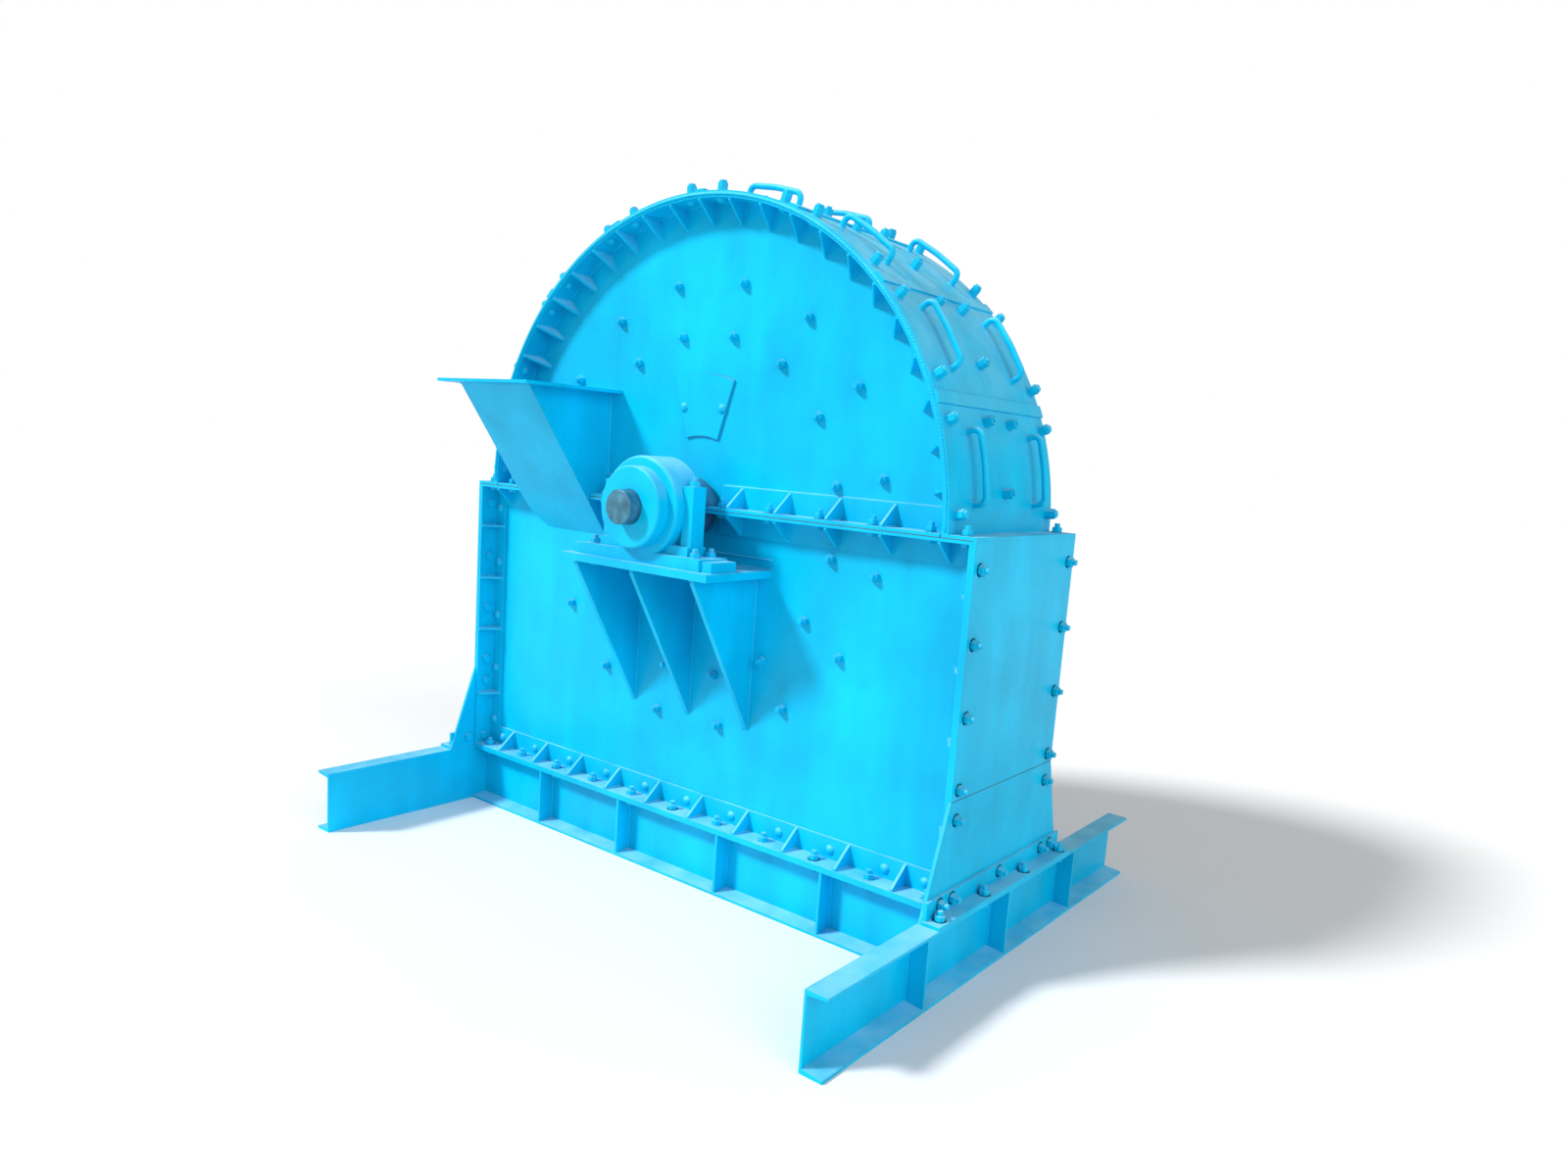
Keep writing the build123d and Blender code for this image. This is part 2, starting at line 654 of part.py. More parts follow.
def triangle_gusset(x, z, up):
    """A gusset across a split or bottom angle at x."""
    sign = 1 if up else -1
    edge = -FLANGE_EDGE + GUSSET_SETBACK
    points = [(-LEG_FACE, z + sign * ANGLE_T), (edge, z + sign * ANGLE_T),
              (edge, z + sign * (ANGLE_T + GUSSET_NOSE)), (-LEG_FACE, z + sign * (ANGLE_UP - GUSSET_SETBACK))]
    return plate_x(points, x - GUSSET_T / 2, x + GUSSET_T / 2)


def corner_gusset(z):
    """A gusset across the right corner angle of the front wall."""
    x0 = PLATE_INNER_X - CORNER_LEG + GUSSET_SETBACK
    x1 = PLATE_INNER_X - ANGLE_T
    plane = Plane(origin=(0, 0, z - GUSSET_T / 2))
    edge = -FLANGE_EDGE + GUSSET_SETBACK
    points = [(x1, -LEG_FACE), (x1, edge), (x1 - GUSSET_NOSE, edge), (x0, -LEG_FACE)]
    return extrude(plane * make_face(Polyline(*points, close=True)), GUSSET_T)


def rim_gusset(angle):
    """A radial gusset between the front wall and the rim band, its band corner clipped."""
    foot = BAND_INNER_R - RIM_GUSSET_REACH
    top = sqrt(BAND_INNER_R ** 2 - (GUSSET_T / 2) ** 2) - RIM_GUSSET_CLEARANCE
    edge = -FLANGE_EDGE + GUSSET_SETBACK
    points = [(-WALL_OUT, foot), (-WALL_OUT, top), (edge, top), (edge, top - GUSSET_NOSE)]
    plate = plate_x([(y, SHAFT_HEIGHT + z) for y, z in points], -GUSSET_T / 2, GUSSET_T / 2)
    turn = Location((0, 0, SHAFT_HEIGHT), (0, 90 - angle, 0)) * Location((0, 0, -SHAFT_HEIGHT))
    return turn * plate


def hood_angle_reach():
    """How far the hood's foot angles reach from the middle, inside the rim band."""
    return sqrt(BAND_INNER_R ** 2 - ANGLE_UP ** 2) - 1


def gussets():
    """Every gusset plate of the casing and the hood."""
    places = [SPLIT_GUSSET_PITCH * (k + 1) for k in range(SPLIT_GUSSETS_PER_SIDE)]
    xs = [-x for x in places] + places
    bottom = [triangle_gusset(x, CASING_BOTTOM, True) for x in bottom_gussets_x()]
    corners = left_and_right([corner_gusset(SHAFT_HEIGHT - drop) for drop in CORNER_GUSSET_DROPS])
    below = [triangle_gusset(x, SHAFT_HEIGHT, False) for x in xs]
    above = [triangle_gusset(x, SHAFT_HEIGHT, True) for x in xs if abs(x) + GUSSET_T < hood_angle_reach()]
    rim_count = round(180 / RIM_GUSSET_PITCH) - 1
    rim = [rim_gusset(RIM_GUSSET_PITCH * (k + 1)) for k in range(rim_count)]
    gap = GUSSET_CHUTE_GAP
    clear = box(CHUTE_LEFT - CHUTE_FLANGE - gap, CHUTE_RIGHT + gap, -WALL_OUT - CHUTE_REACH, 0,
                CHUTE_BOTTOM, CHUTE_TOP + CHUTE_FLANGE_T + gap)
    front = bottom + corners
    front += [plate for plate in below + above + rim if (plate & clear).volume < 1]
    rear = [mirrored(plate) for plate in bottom + corners + below + above + rim]
    save("frame_gussets", front + rear)


def end_plates():
    """End plates, skirt plates below them and the base angles on the skid."""
    upper = box(PLATE_INNER_X, CASING_HALF, -FLANGE_EDGE, FLANGE_EDGE, SEAM_HEIGHT, SHAFT_HEIGHT)
    upper = drill(upper, end_spots() + spots_mirrored(end_spots()), DRILL_DEPTH)
    wide = FLANGE_EDGE + SKIRT_FLARE
    skirt = plate_x([(-wide, CASING_BOTTOM), (wide, CASING_BOTTOM), (FLANGE_EDGE, SEAM_HEIGHT),
                     (-FLANGE_EDGE, SEAM_HEIGHT)], PLATE_INNER_X, CASING_HALF)
    corner = skirt_spots() + base_corner_spots()
    skirt = drill(skirt, corner + spots_mirrored(corner) + base_leg_spots(), DRILL_DEPTH)
    foot = box(CASING_HALF, CASING_HALF + BASE_ANGLE_LEG, -wide, wide, CASING_BOTTOM, CASING_BOTTOM + ANGLE_T)
    half = wide - BASE_ANGLE_TRIM
    leg = box(CASING_HALF, CASING_HALF + ANGLE_T, -half, half, CASING_BOTTOM, CASING_BOTTOM + BASE_ANGLE_UP)
    angle = drill(foot + leg, base_foot_spots(), DRILL_DEPTH)
    corners = base_corner_spots() + spots_mirrored(base_corner_spots())
    angle = drill(angle, base_leg_spots() + corners, DRILL_DEPTH)
    save("end_plate_right", upper)
    save("end_plate_left", upper.mirror(Plane.YZ))
    save("skirt_plates", left_and_right([skirt]))
    save("end_base_angles", left_and_right([angle]))


# Hood
def hatch_hole():
    """The cut behind the hatch through the front wall and its liner."""
    half = HATCH_HALF_ANGLE - HATCH_LAP_ANGLE
    return sector(HATCH_INNER_R + HATCH_LAP, HATCH_OUTER_R - HATCH_LAP, 90 - half, 90 + half,
                  -WALL_OUT - 1, -CHAMBER_HALF + 1)


def hood_walls():
    """Half-round front and rear plates of the hood."""
    half_disc = sector(SHAFT_HOLE_R, BAND_INNER_R, 0, 180, -WALL_OUT, -WALL_IN)
    rear = drill(half_disc, liner_spots(True), WALL_T + 1)
    front_spots = [spot for spot in liner_spots(True) if not over_chute(spot[0][0], spot[0][2])]
    front = drill(half_disc, front_spots + hatch_spots(), WALL_T + HATCH_T + 1)
    save("hood_wall_front", front - wall_opening() - hatch_hole())
    save("hood_wall_rear", mirrored(rear))


def hood_angles():
    """Angles along the foot of the hood walls."""
    reach = hood_angle_reach()
    front = split_angles(reach, True, True, split_spots())
    rear = split_angles(reach, True, False, split_spots())
    save("hood_split_angles", front + [mirrored(shape) for shape in rear])


def rim_bands():
    """Rolled bands round the hood walls."""
    band = sector(BAND_INNER_R, COVER_IN_R, 0, 180, -FLANGE_EDGE, -WALL_IN)
    spots = [spot for index in range(COVER_COUNT) for spot in cover_rim_spots(index)]
    band = drill(band, [spot for spot in spots if spot[0][1] < 0], DRILL_DEPTH)
    save("rim_bands", both_sides([band]))


def covers():
    """Eight curved covers, the straps over their seams and the ledges at their feet."""
    for index in range(COVER_COUNT):
        a0, a1 = cover_angles(index)
        cover = sector(COVER_IN_R, COVER_OUT_R, a0, a1, -FLANGE_EDGE, FLANGE_EDGE)
        cover = drill(cover, cover_rim_spots(index) + cover_liner_spots(index), DRILL_DEPTH)
        save(f"hood_cover_{index + 1}", cover)
    half_strap = degrees(STRAP_WIDTH / 2 / COVER_OUT_R)
    straps = [sector(COVER_OUT_R, COVER_OUT_R + STRAP_T, COVER_SWEEP * k - half_strap,
                     COVER_SWEEP * k + half_strap, -FLANGE_EDGE, FLANGE_EDGE) for k in range(1, COVER_COUNT)]
    save("cover_seam_straps", straps)
    upper = box(COVER_OUT_R, CASING_HALF, -FLANGE_EDGE, FLANGE_EDGE, SHAFT_HEIGHT, SHAFT_HEIGHT + LEDGE_T)
    lower = box(BAND_INNER_R, PLATE_INNER_X, -WALL_IN, WALL_IN, SHAFT_HEIGHT - LEDGE_T, SHAFT_HEIGHT)
    ledges = [drill(upper, ledge_spots(), DRILL_DEPTH), drill(lower, ledge_spots(), DRILL_DEPTH)]
    save("end_ledges", left_and_right(ledges))


def handles():
    """Two U-shaped lifting handles on each cover."""
    grip_r = COVER_OUT_R + HANDLE_STAND_OFF - HANDLE_BAR_R
    half = HANDLE_SWEEP / 2
    across, up = COVER_OUT_R * sin(radians(half)), COVER_OUT_R * cos(radians(half)) - 1
    ends = [(-across, up), (across, up)]
    tops = [(grip_r * sin(radians(side * half)), grip_r * cos(radians(half))) for side in (-1, 1)]
    bends = [HANDLE_BEND_R, HANDLE_CROWN_R, HANDLE_BEND_R]
    path = FilletPolyline(ends[0], tops[0], (0, grip_r), tops[1], ends[1], radius=bends)
    bar = sweep(Plane(origin=path @ 0, z_dir=path % 0) * Circle(HANDLE_BAR_R), path=path)
    bar = Location((0, 0, 0), (90, 0, 0)) * bar
    bar -= shaft_rod(COVER_OUT_R, -2 * HANDLE_BAR_R, 2 * HANDLE_BAR_R, z=0)
    shapes = []
    for index in range(COVER_COUNT):
        a0, a1 = cover_angles(index)
        turn = Location((0, 0, SHAFT_HEIGHT)) * Location((0, 0, 0), (0, 90 - (a0 + a1) / 2, 0))
        shapes += [Pos(0, y, 0) * (turn * bar) for y in (-HANDLE_Y, HANDLE_Y)]
    save("cover_handles", shapes)


def hatch():
    """The hatch plate."""
    plate = sector(HATCH_INNER_R, HATCH_OUTER_R, 90 - HATCH_HALF_ANGLE, 90 + HATCH_HALF_ANGLE,
                   -WALL_OUT - HATCH_T, -WALL_OUT)
    save("hatch_cover", drill(plate, hatch_spots(), DRILL_DEPTH))


# Feed chute
def chute_wedge(step, side):
    """The chute's body, its slope set back by a step along Y and its sides by their own inset."""
    rise = step * (CHUTE_TOP - CHUTE_BOTTOM) / CHUTE_REACH
    points = [(-WALL_OUT, CHUTE_TOP), (-WALL_OUT - CHUTE_REACH + step, CHUTE_TOP),
              (-WALL_OUT, CHUTE_BOTTOM + rise)]
    wedge = plate_x(points, CHUTE_LEFT + side, CHUTE_RIGHT - side)
    return wedge & extrude(chute_outline(side, -WALL_OUT), CHUTE_REACH + CHUTE_T)


def chute():
    """The wedge-shaped chute and the flange round its mouth."""
    slope = atan2(CHUTE_REACH, CHUTE_TOP - CHUTE_BOTTOM)
    outer = chute_wedge(0, 0)
    inner = chute_wedge(CHUTE_T / cos(slope), CHUTE_T)
    save("feed_chute", outer - inner - inner.moved(Location((0, 0, 1))) - inner.moved(Location((0, 1, 0))))
    front = -WALL_OUT - CHUTE_REACH
    left = CHUTE_LEFT - CHUTE_FLANGE
    right = CHUTE_RIGHT + CHUTE_FLANGE
    top = CHUTE_TOP + CHUTE_FLANGE_T
    bars = [box(left, right, front - CHUTE_FLANGE, front + CHUTE_T, CHUTE_TOP, top),
            box(left, CHUTE_LEFT + CHUTE_T, front + CHUTE_T, -WALL_OUT, CHUTE_TOP, top),
            box(CHUTE_RIGHT - CHUTE_T, right, front + CHUTE_T, -WALL_OUT, CHUTE_TOP, top),
            box(CHUTE_LEFT + CHUTE_T, CHUTE_RIGHT - CHUTE_T, -WALL_OUT - CHUTE_BACK_BAR, -WALL_OUT,
                CHUTE_TOP, top)]
    save("chute_flange", bars)


# Liners and grate
def side_liner(radius, a0, a1, upper):
    """Half of a wear plate on the front wall."""
    liner = sector(LINER_HOLE_R, radius, a0, a1, -WALL_IN, -CHAMBER_HALF)
    return drill(liner, liner_spots(upper), DRILL_DEPTH)


def liners():
    """Wear plates on the walls and inside the covers."""
    halves = [side_liner(HOOD_LINER_R - LINER_GAP, 0, 180, True),
              side_liner(GRATE_INNER_R - LINER_GAP, 180, 360, False)]
    front = [halves[0] - wall_opening() - hatch_hole(), halves[1] - wall_opening()]
    save("side_liners", front + [mirrored(half) for half in halves])
    pieces = []
    for index in range(COVER_COUNT):
        a0, a1 = cover_angles(index)
        liner = sector(HOOD_LINER_R, COVER_IN_R, a0 + HOOD_LINER_SEAM / 2, a1 - HOOD_LINER_SEAM / 2,
                       -WALL_IN + LINER_GAP, WALL_IN - LINER_GAP)
        pieces.append(drill(liner, cover_liner_spots(index), DEEP_DRILL_DEPTH))
    save("hood_liners", pieces)


def grate():
    """Bars across the discharge and the two rails that carry them."""
    half = degrees(GRATE_BAR_WIDTH / 2 / GRATE_INNER_R)
    end = 3 * 180 - GRATE_START
    count = round((end - GRATE_START) / GRATE_PITCH) + 1
    bars = []
    for k in range(count):
        angle = GRATE_START + GRATE_PITCH * k
        bars.append(sector(GRATE_INNER_R, GRATE_OUTER_R, angle - half, angle + half, -WALL_IN, WALL_IN))
    rail = sector(GRATE_OUTER_R, GRATE_OUTER_R + GRATE_RAIL_DEPTH, GRATE_START - GRATE_RAIL_OVERHANG,
                  end + GRATE_RAIL_OVERHANG, -WALL_IN, -WALL_IN + GRATE_RAIL_WIDTH)
    save("discharge_grate", bars)
    save("grate_rails", both_sides([rail]))


# Bearings
def brackets():
    """Shelf brackets on the walls, each with two stop blocks."""
    half = BRACKET_WIDTH / 2
    low = BRACKET_TOP - BRACKET_PLATE_T
    plate = box(-half, half, -WALL_OUT - BRACKET_REACH, -WALL_OUT, low, BRACKET_TOP)
    plate = drill(plate, foot_spots(), DEEP_DRILL_DEPTH)
    edge = -WALL_OUT - BRACKET_REACH + BRACKET_RIB_SETBACK
    rib_points = [(-WALL_OUT, low), (edge, low), (edge, low - BRACKET_RIB_NOSE),
                  (-WALL_OUT, BRACKET_RIB_FOOT)]
    ribs = [plate_x(rib_points, x - BRACKET_RIB_T / 2, x + BRACKET_RIB_T / 2) for x in BRACKET_RIBS_X]
    width, depth, height = STOP_BLOCK
    x0 = FOOT_LENGTH / 2
    y0 = -HOUSING_CENTRE_Y - depth / 2
    blocks = left_and_right([box(x0, x0 + width, y0, y0 + depth, BRACKET_TOP, BRACKET_TOP + height)])
    front = [plate] + ribs + blocks
    save("bearing_bracket_front", front)
    save("bearing_bracket_rear", [mirrored(shape) for shape in front])


def housing_block(x, depth, z0, z1):
    """A block through the middle of the front housing, reaching as far on both sides of the shaft."""
    return box(-x, x, -HOUSING_CENTRE_Y - depth / 2, -HOUSING_CENTRE_Y + depth / 2, z0, z1)


def housing_lugs(z0, z1):
    """The pair of bolt lugs beside the front housing, between two heights."""
    inner = housing_block(LUG_X - LUG_WIDTH / 2, LUG_DEPTH + 2, z0 - 1, z1 + 1)
    return housing_block(LUG_X + LUG_WIDTH / 2, LUG_DEPTH, z0, z1) - inner


def plummer_blocks():
    """Base and cap of each bearing housing."""
    body = shaft_rod(HOUSING_OUTER_R, -HOUSING_FRONT, -HOUSING_BACK)
    body = fillet(body.edges().filter_by(GeomType.CIRCLE), HOUSING_FILLET)
    bore = shaft_rod(HOUSING_BORE_R, -HOUSING_FRONT - 1, -HOUSING_BACK + 1)
    top = SHAFT_HEIGHT + LUG_HEIGHT
    crown = SHAFT_HEIGHT + HOUSING_OUTER_R + 1
    upper_half = housing_block(HOUSING_OUTER_R + 1, HOUSING_WIDTH + 2, SHAFT_HEIGHT, crown)
    cap = (body & upper_half) + housing_block(LUG_X, LUG_WEB_DEPTH, SHAFT_HEIGHT, top - LUG_WEB_DROP)
    cap = drill(cap + housing_lugs(SHAFT_HEIGHT, top) - bore, cap_spots(), CAP_HOLE_DEPTH)
    lower_half = housing_block(HOUSING_OUTER_R + 1, HOUSING_WIDTH + 2, BRACKET_TOP, SHAFT_HEIGHT)
    foot_top = BRACKET_TOP + FOOT_T
    base = (body & lower_half) + housing_block(FOOT_LENGTH / 2, FOOT_WIDTH, BRACKET_TOP, foot_top)
    base += housing_block(LUG_X, LUG_WEB_DEPTH, foot_top, SHAFT_HEIGHT) + housing_lugs(foot_top, SHAFT_HEIGHT)
    base += housing_block(LUG_X + LUG_WIDTH / 2, PEDESTAL_DEPTH, foot_top, foot_top + PEDESTAL_RISE)
    base = drill(drill(base - bore, cap_spots(), CAP_HOLE_DEPTH), foot_spots(), DEEP_DRILL_DEPTH)
    save("bearing_cap_front", cap)
    save("bearing_cap_rear", mirrored(cap))
    save("bearing_base_front", base)
    save("bearing_base_rear", mirrored(base))


def end_covers():
    """Outer and inner end covers, with spigots that reach the bearing."""
    hole_out = STUB_R + SHAFT_COVER_CLEARANCE
    hole_in = NECK_R + SHAFT_COVER_CLEARANCE
    face = HOUSING_FRONT + END_COVER_T
    outer = shaft_rod(END_COVER_R, -face, -HOUSING_FRONT)
    outer = fillet(outer.edges().filter_by(GeomType.CIRCLE).sort_by(Axis.Y)[0], END_COVER_FILLET)
    outer += shaft_rod(HOUSING_BORE_R, -HOUSING_FRONT, -BEARING_FRONT)
    gap, depth = END_COVER_RELIEF
    step = shaft_rod(JOURNAL_R + gap, -HOUSING_FRONT - depth, -BEARING_FRONT + 1)
    outer -= shaft_rod(hole_out, -face - 1, -BEARING_FRONT + 1) + step
    inner = shaft_rod(END_COVER_R, -HOUSING_BACK, -HOUSING_BACK + INNER_COVER_T)
    inner += shaft_rod(HOUSING_BORE_R, -BEARING_BACK, -HOUSING_BACK)
    inner -= shaft_rod(hole_in, -BEARING_BACK - 1, -HOUSING_BACK + INNER_COVER_T + 1)
    gap, depth = INNER_COVER_RELIEF
    inner -= shaft_rod(INNER_RING_OUTER_R + gap, -BEARING_BACK - 1, -BEARING_BACK + depth)
    save("bearing_end_covers", both_sides([outer, inner]))


def bearings():
    """Outer rings, inner rings, rollers and their cages."""
    outer = tube(OUTER_RING_INNER_R, HOUSING_BORE_R, -BEARING_FRONT, -BEARING_BACK)
    inner = tube(JOURNAL_R, INNER_RING_OUTER_R, -BEARING_FRONT, -BEARING_BACK)
    save("bearing_outer_rings", both_sides([outer]))
    save("bearing_inner_rings", both_sides([inner]))
    length = BEARING_WIDTH - 2 * CAGE_SIDE_T - 2 * CAGE_END_GAP
    mid = -HOUSING_CENTRE_Y
    half = BEARING_WIDTH / 2 - CAGE_END_GAP / 2
    cage = tube(ROLLER_CIRCLE_R - CAGE_T / 2, ROLLER_CIRCLE_R + CAGE_T / 2, mid - half, mid + half)
    rollers = []
    pockets = []
    for k in range(ROLLER_COUNT):
        x, z = polar(ROLLER_CIRCLE_R, 360 * k / ROLLER_COUNT)
        rollers.append(shaft_rod(ROLLER_R, mid - length / 2, mid + length / 2, x, z))
        reach = length / 2 + CAGE_POCKET_CLEARANCE
        pockets.append(shaft_rod(ROLLER_R + CAGE_POCKET_CLEARANCE, mid - reach, mid + reach, x, z))
    front = [cage - pockets] + rollers
    save("rollers_front", front)
    save("rollers_rear", [mirrored(shape) for shape in front])


# Rotor
def pin_angles():
    """Angles of the hammer pins."""
    return [45 + 360 * k / HAMMER_ROWS for k in range(HAMMER_ROWS)]


def rotor_shaft():
    """The stepped shaft, its rotor key and its two seal collars."""
    shaft = shaft_rod(STUB_R, -STUB_END, DRIVE_SHOULDER) + shaft_rod(DRIVE_R, DRIVE_SHOULDER, DRIVE_END)
    shaft += shaft_rod(JOURNAL_R, -BEARING_FRONT, BEARING_FRONT)
    shaft += shaft_rod(NECK_R, -BEARING_BACK, BEARING_BACK)
    shaft += shaft_rod(ROTOR_SEAT_R, -CHAMBER_HALF, CHAMBER_HALF)
    ends = shaft.edges().filter_by(GeomType.CIRCLE).sort_by(Axis.Y)
    shaft = chamfer([ends[0], ends[-1]], SHAFT_CHAMFER)
    way_length, way_width, way_depth = DRIVE_KEYWAY
    top = SHAFT_HEIGHT + DRIVE_R
    way_end = DRIVE_END - KEYWAY_SETBACK
    way = box(-way_width / 2, way_width / 2, way_end - way_length, way_end, top - way_depth, top + way_depth)
    seat = SHAFT_HEIGHT - ROTOR_SEAT_R
    width = KEY_WIDTH / 2
    half_key = KEY_HEIGHT / 2
    key = box(-width, width, -DISC_STACK_HALF, DISC_STACK_HALF, seat - half_key, seat + half_key)
    save("rotor_shaft", shaft - way - key)
    save("rotor_key", key)
    y0 = -WALL_OUT - SEAL_COLLAR_GAP - SEAL_COLLAR_WIDTH
    save("shaft_seal_collars", both_sides([tube(NECK_R, SEAL_COLLAR_R, y0, y0 + SEAL_COLLAR_WIDTH)]))


def rotor_stack():
    """Discs, spacers, hammer pins and the sleeves on the pins."""
    bore = ROTOR_SEAT_R + KEY_CLEARANCE
    way = box(-KEY_WIDTH / 2 - KEY_CLEARANCE, KEY_WIDTH / 2 + KEY_CLEARANCE, -CHAMBER_HALF, CHAMBER_HALF,
              SHAFT_HEIGHT - ROTOR_SEAT_R - KEY_HEIGHT / 2 - KEY_CLEARANCE, SHAFT_HEIGHT)
    ys = [DISC_PITCH * (k - (DISC_COUNT - 1) / 2) for k in range(DISC_COUNT)]
    pins = [polar(PIN_CIRCLE_R, angle) for angle in pin_angles()]
    discs = []
    for y in ys:
        holes = [shaft_rod(PIN_R + PIN_CLEARANCE, y - DISC_T, y + DISC_T, x, z) for x, z in pins]
        disc = tube(bore, DISC_R, y - DISC_T / 2, y + DISC_T / 2)
        discs.append(disc - holes - way)
    save("rotor_discs", discs)
    rings = [tube(bore, SPACER_R, y + DISC_T / 2, y + DISC_PITCH - DISC_T / 2) - way for y in ys[:-1]]
    rings += both_sides([tube(bore, SPACER_R, -CHAMBER_HALF + ROTOR_END_GAP, -DISC_STACK_HALF)])
    end = DISC_STACK_HALF + PIN_COLLAR_T
    pin_solids = []
    sleeves = []
    for x, z in pins:
        head = shaft_rod(PIN_COLLAR_R, -end, -DISC_STACK_HALF, x, z)
        pin_solids.append(shaft_rod(PIN_R, -end, end, x, z) + head)
        pin_solids.append(tube(PIN_R, PIN_COLLAR_R, DISC_STACK_HALF, end, x, z))
        for y in ys[:-1]:
            start = y + DISC_T / 2
            stop = y + DISC_PITCH - DISC_T / 2
            for y0, y1 in ((start, start + HAMMER_SPACER_L), (stop - HAMMER_SPACER_L, stop)):
                sleeves.append(tube(PIN_R + PIN_CLEARANCE, HAMMER_SPACER_R, y0, y1, x, z))
    save("hammer_pins", pin_solids)
    save("rotor_spacers", rings + sleeves)


def hammers():
    """Four rows of swing hammers, each row on its own pin and hanging down."""
    half = HAMMER_WIDTH / 2
    for row, angle in enumerate(pin_angles()):
        x, z = polar(PIN_CIRCLE_R, angle)
        row_solids = []
        for k in range(DISC_COUNT - 1):
            y = DISC_PITCH * (k + 0.5 - (DISC_COUNT - 1) / 2)
            y0 = y - HAMMER_T / 2
            y1 = y + HAMMER_T / 2
            blade = box(x - half, x + half, y0, y1, z - HAMMER_REACH, z) + shaft_rod(half, y0, y1, x, z)
            row_solids.append(blade - shaft_rod(PIN_R + HAMMER_BORE_CLEARANCE, y0 - 1, y1 + 1, x, z))
        save(f"hammer_row_{row + 1}", row_solids)


# Fastener groups
def wall_bolts():
    """Liner bolts, hatch bolts and the round heads on the wall."""
    liner_bolt = nut_and_stud(WALL_T + SIDE_LINER_T)
    every = liner_spots(True) + liner_spots(False)
    front = [spot for spot in every if not over_chute(spot[0][0], spot[0][2])]
    hatch_bolt = dome_bolt(HATCH_T + WALL_T)
    shapes = place(liner_bolt, front + spots_mirrored(every)) + place(hatch_bolt, hatch_spots())
    domes = bottom_dome_spots() + corner_dome_spots()
    shapes += place(dome_bolt(LEG_FACE - WALL_IN), domes + spots_mirrored(domes))
    save("wall_bolts", shapes)


def cover_bolts():
    """Tall nuts on the covers, with round heads inside the rim bands."""
    seat = COVER_T + BAND_T + BAND_INNER_R - sqrt(BAND_INNER_R ** 2 - DOME_R ** 2) + 0.01
    rim = nut_and_stud(seat, TALL_NUT_R, TALL_NUT_H, TALL_STUD_TIP)
    rim += Pos(0, 0, -seat) * (Rot(180, 0, 0) * dome_bolt(1))
    through = nut_and_stud(COVER_T + HOOD_LINER_T, TALL_NUT_R, TALL_NUT_H, TALL_STUD_TIP)
    indexes = range(COVER_COUNT)
    shapes = place(rim, [spot for index in indexes for spot in cover_rim_spots(index)])
    shapes += place(through, [spot for index in indexes for spot in cover_liner_spots(index)])
    save("cover_bolts", shapes)


def frame_bolts():
    """Bolts of the split flange, the bottom flange, the ends and the ledges."""
    two_angles = nut_and_stud(2 * ANGLE_T, inner_head=BOLT_HEAD_H)
    half_x = [spot for spot in split_spots() if not over_chute(spot[0][0], SHAFT_HEIGHT)]
    shapes = place(two_angles, half_x + spots_mirrored(split_spots()))
    seat = flange_thickness(BOLT_LINE - FLANGE_EDGE + CHANNEL_FLANGE - NUT_R)
    down = nut_and_stud(ANGLE_T + seat, inner_head=BOLT_HEAD_H)
    shapes += place(down, bottom_spots() + spots_mirrored(bottom_spots()))
    plates = nut_and_stud(END_PLATE_T + ANGLE_T, inner_head=BOLT_HEAD_H)
    right = end_spots() + skirt_spots()
    base = nut_and_stud(ANGLE_T + END_PLATE_T + ANGLE_T, inner_head=BOLT_HEAD_H)
    group = place(plates, right + spots_mirrored(right))
    group += place(base, base_corner_spots() + spots_mirrored(base_corner_spots()))
    group += place(nut_and_stud(ANGLE_T + END_PLATE_T, inner_head=BOLT_HEAD_H), base_leg_spots())
    reach = base_foot_spots()[0][0][0] - WEB_X - NUT_R
    group += place(nut_and_stud(ANGLE_T + flange_thickness(reach), inner_head=BOLT_HEAD_H), base_foot_spots())
    group += place(nut_and_stud(LEDGE_T + ANGLE_T, inner_head=BOLT_HEAD_H), ledge_spots())
    save("frame_bolts", shapes + left_and_right(group))


def bearing_bolts():
    """Foot bolts and cap bolts of both plummer blocks."""
    foot = nut_and_stud(FOOT_T + BRACKET_PLATE_T, inner_head=BOLT_HEAD_H)
    cap = nut_and_stud(LUG_HEIGHT + CAP_STUD_GRIP)
    shapes = place(foot, foot_spots()) + place(cap, cap_spots())
    save("bearing_bolts", both_sides(shapes))


os.makedirs("parts", exist_ok=True)
skid()
lower_walls()
lower_frame()
gussets()
end_plates()
hood_walls()
hood_angles()
rim_bands()
covers()
handles()
hatch()
chute()
liners()
grate()
brackets()
plummer_blocks()
end_covers()
bearings()
rotor_shaft()
rotor_stack()
hammers()
wall_bolts()
cover_bolts()
frame_bolts()
bearing_bolts()
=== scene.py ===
import json
from math import cos, pi, radians, sin

import bpy
import numpy as np
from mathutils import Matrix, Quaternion, Vector


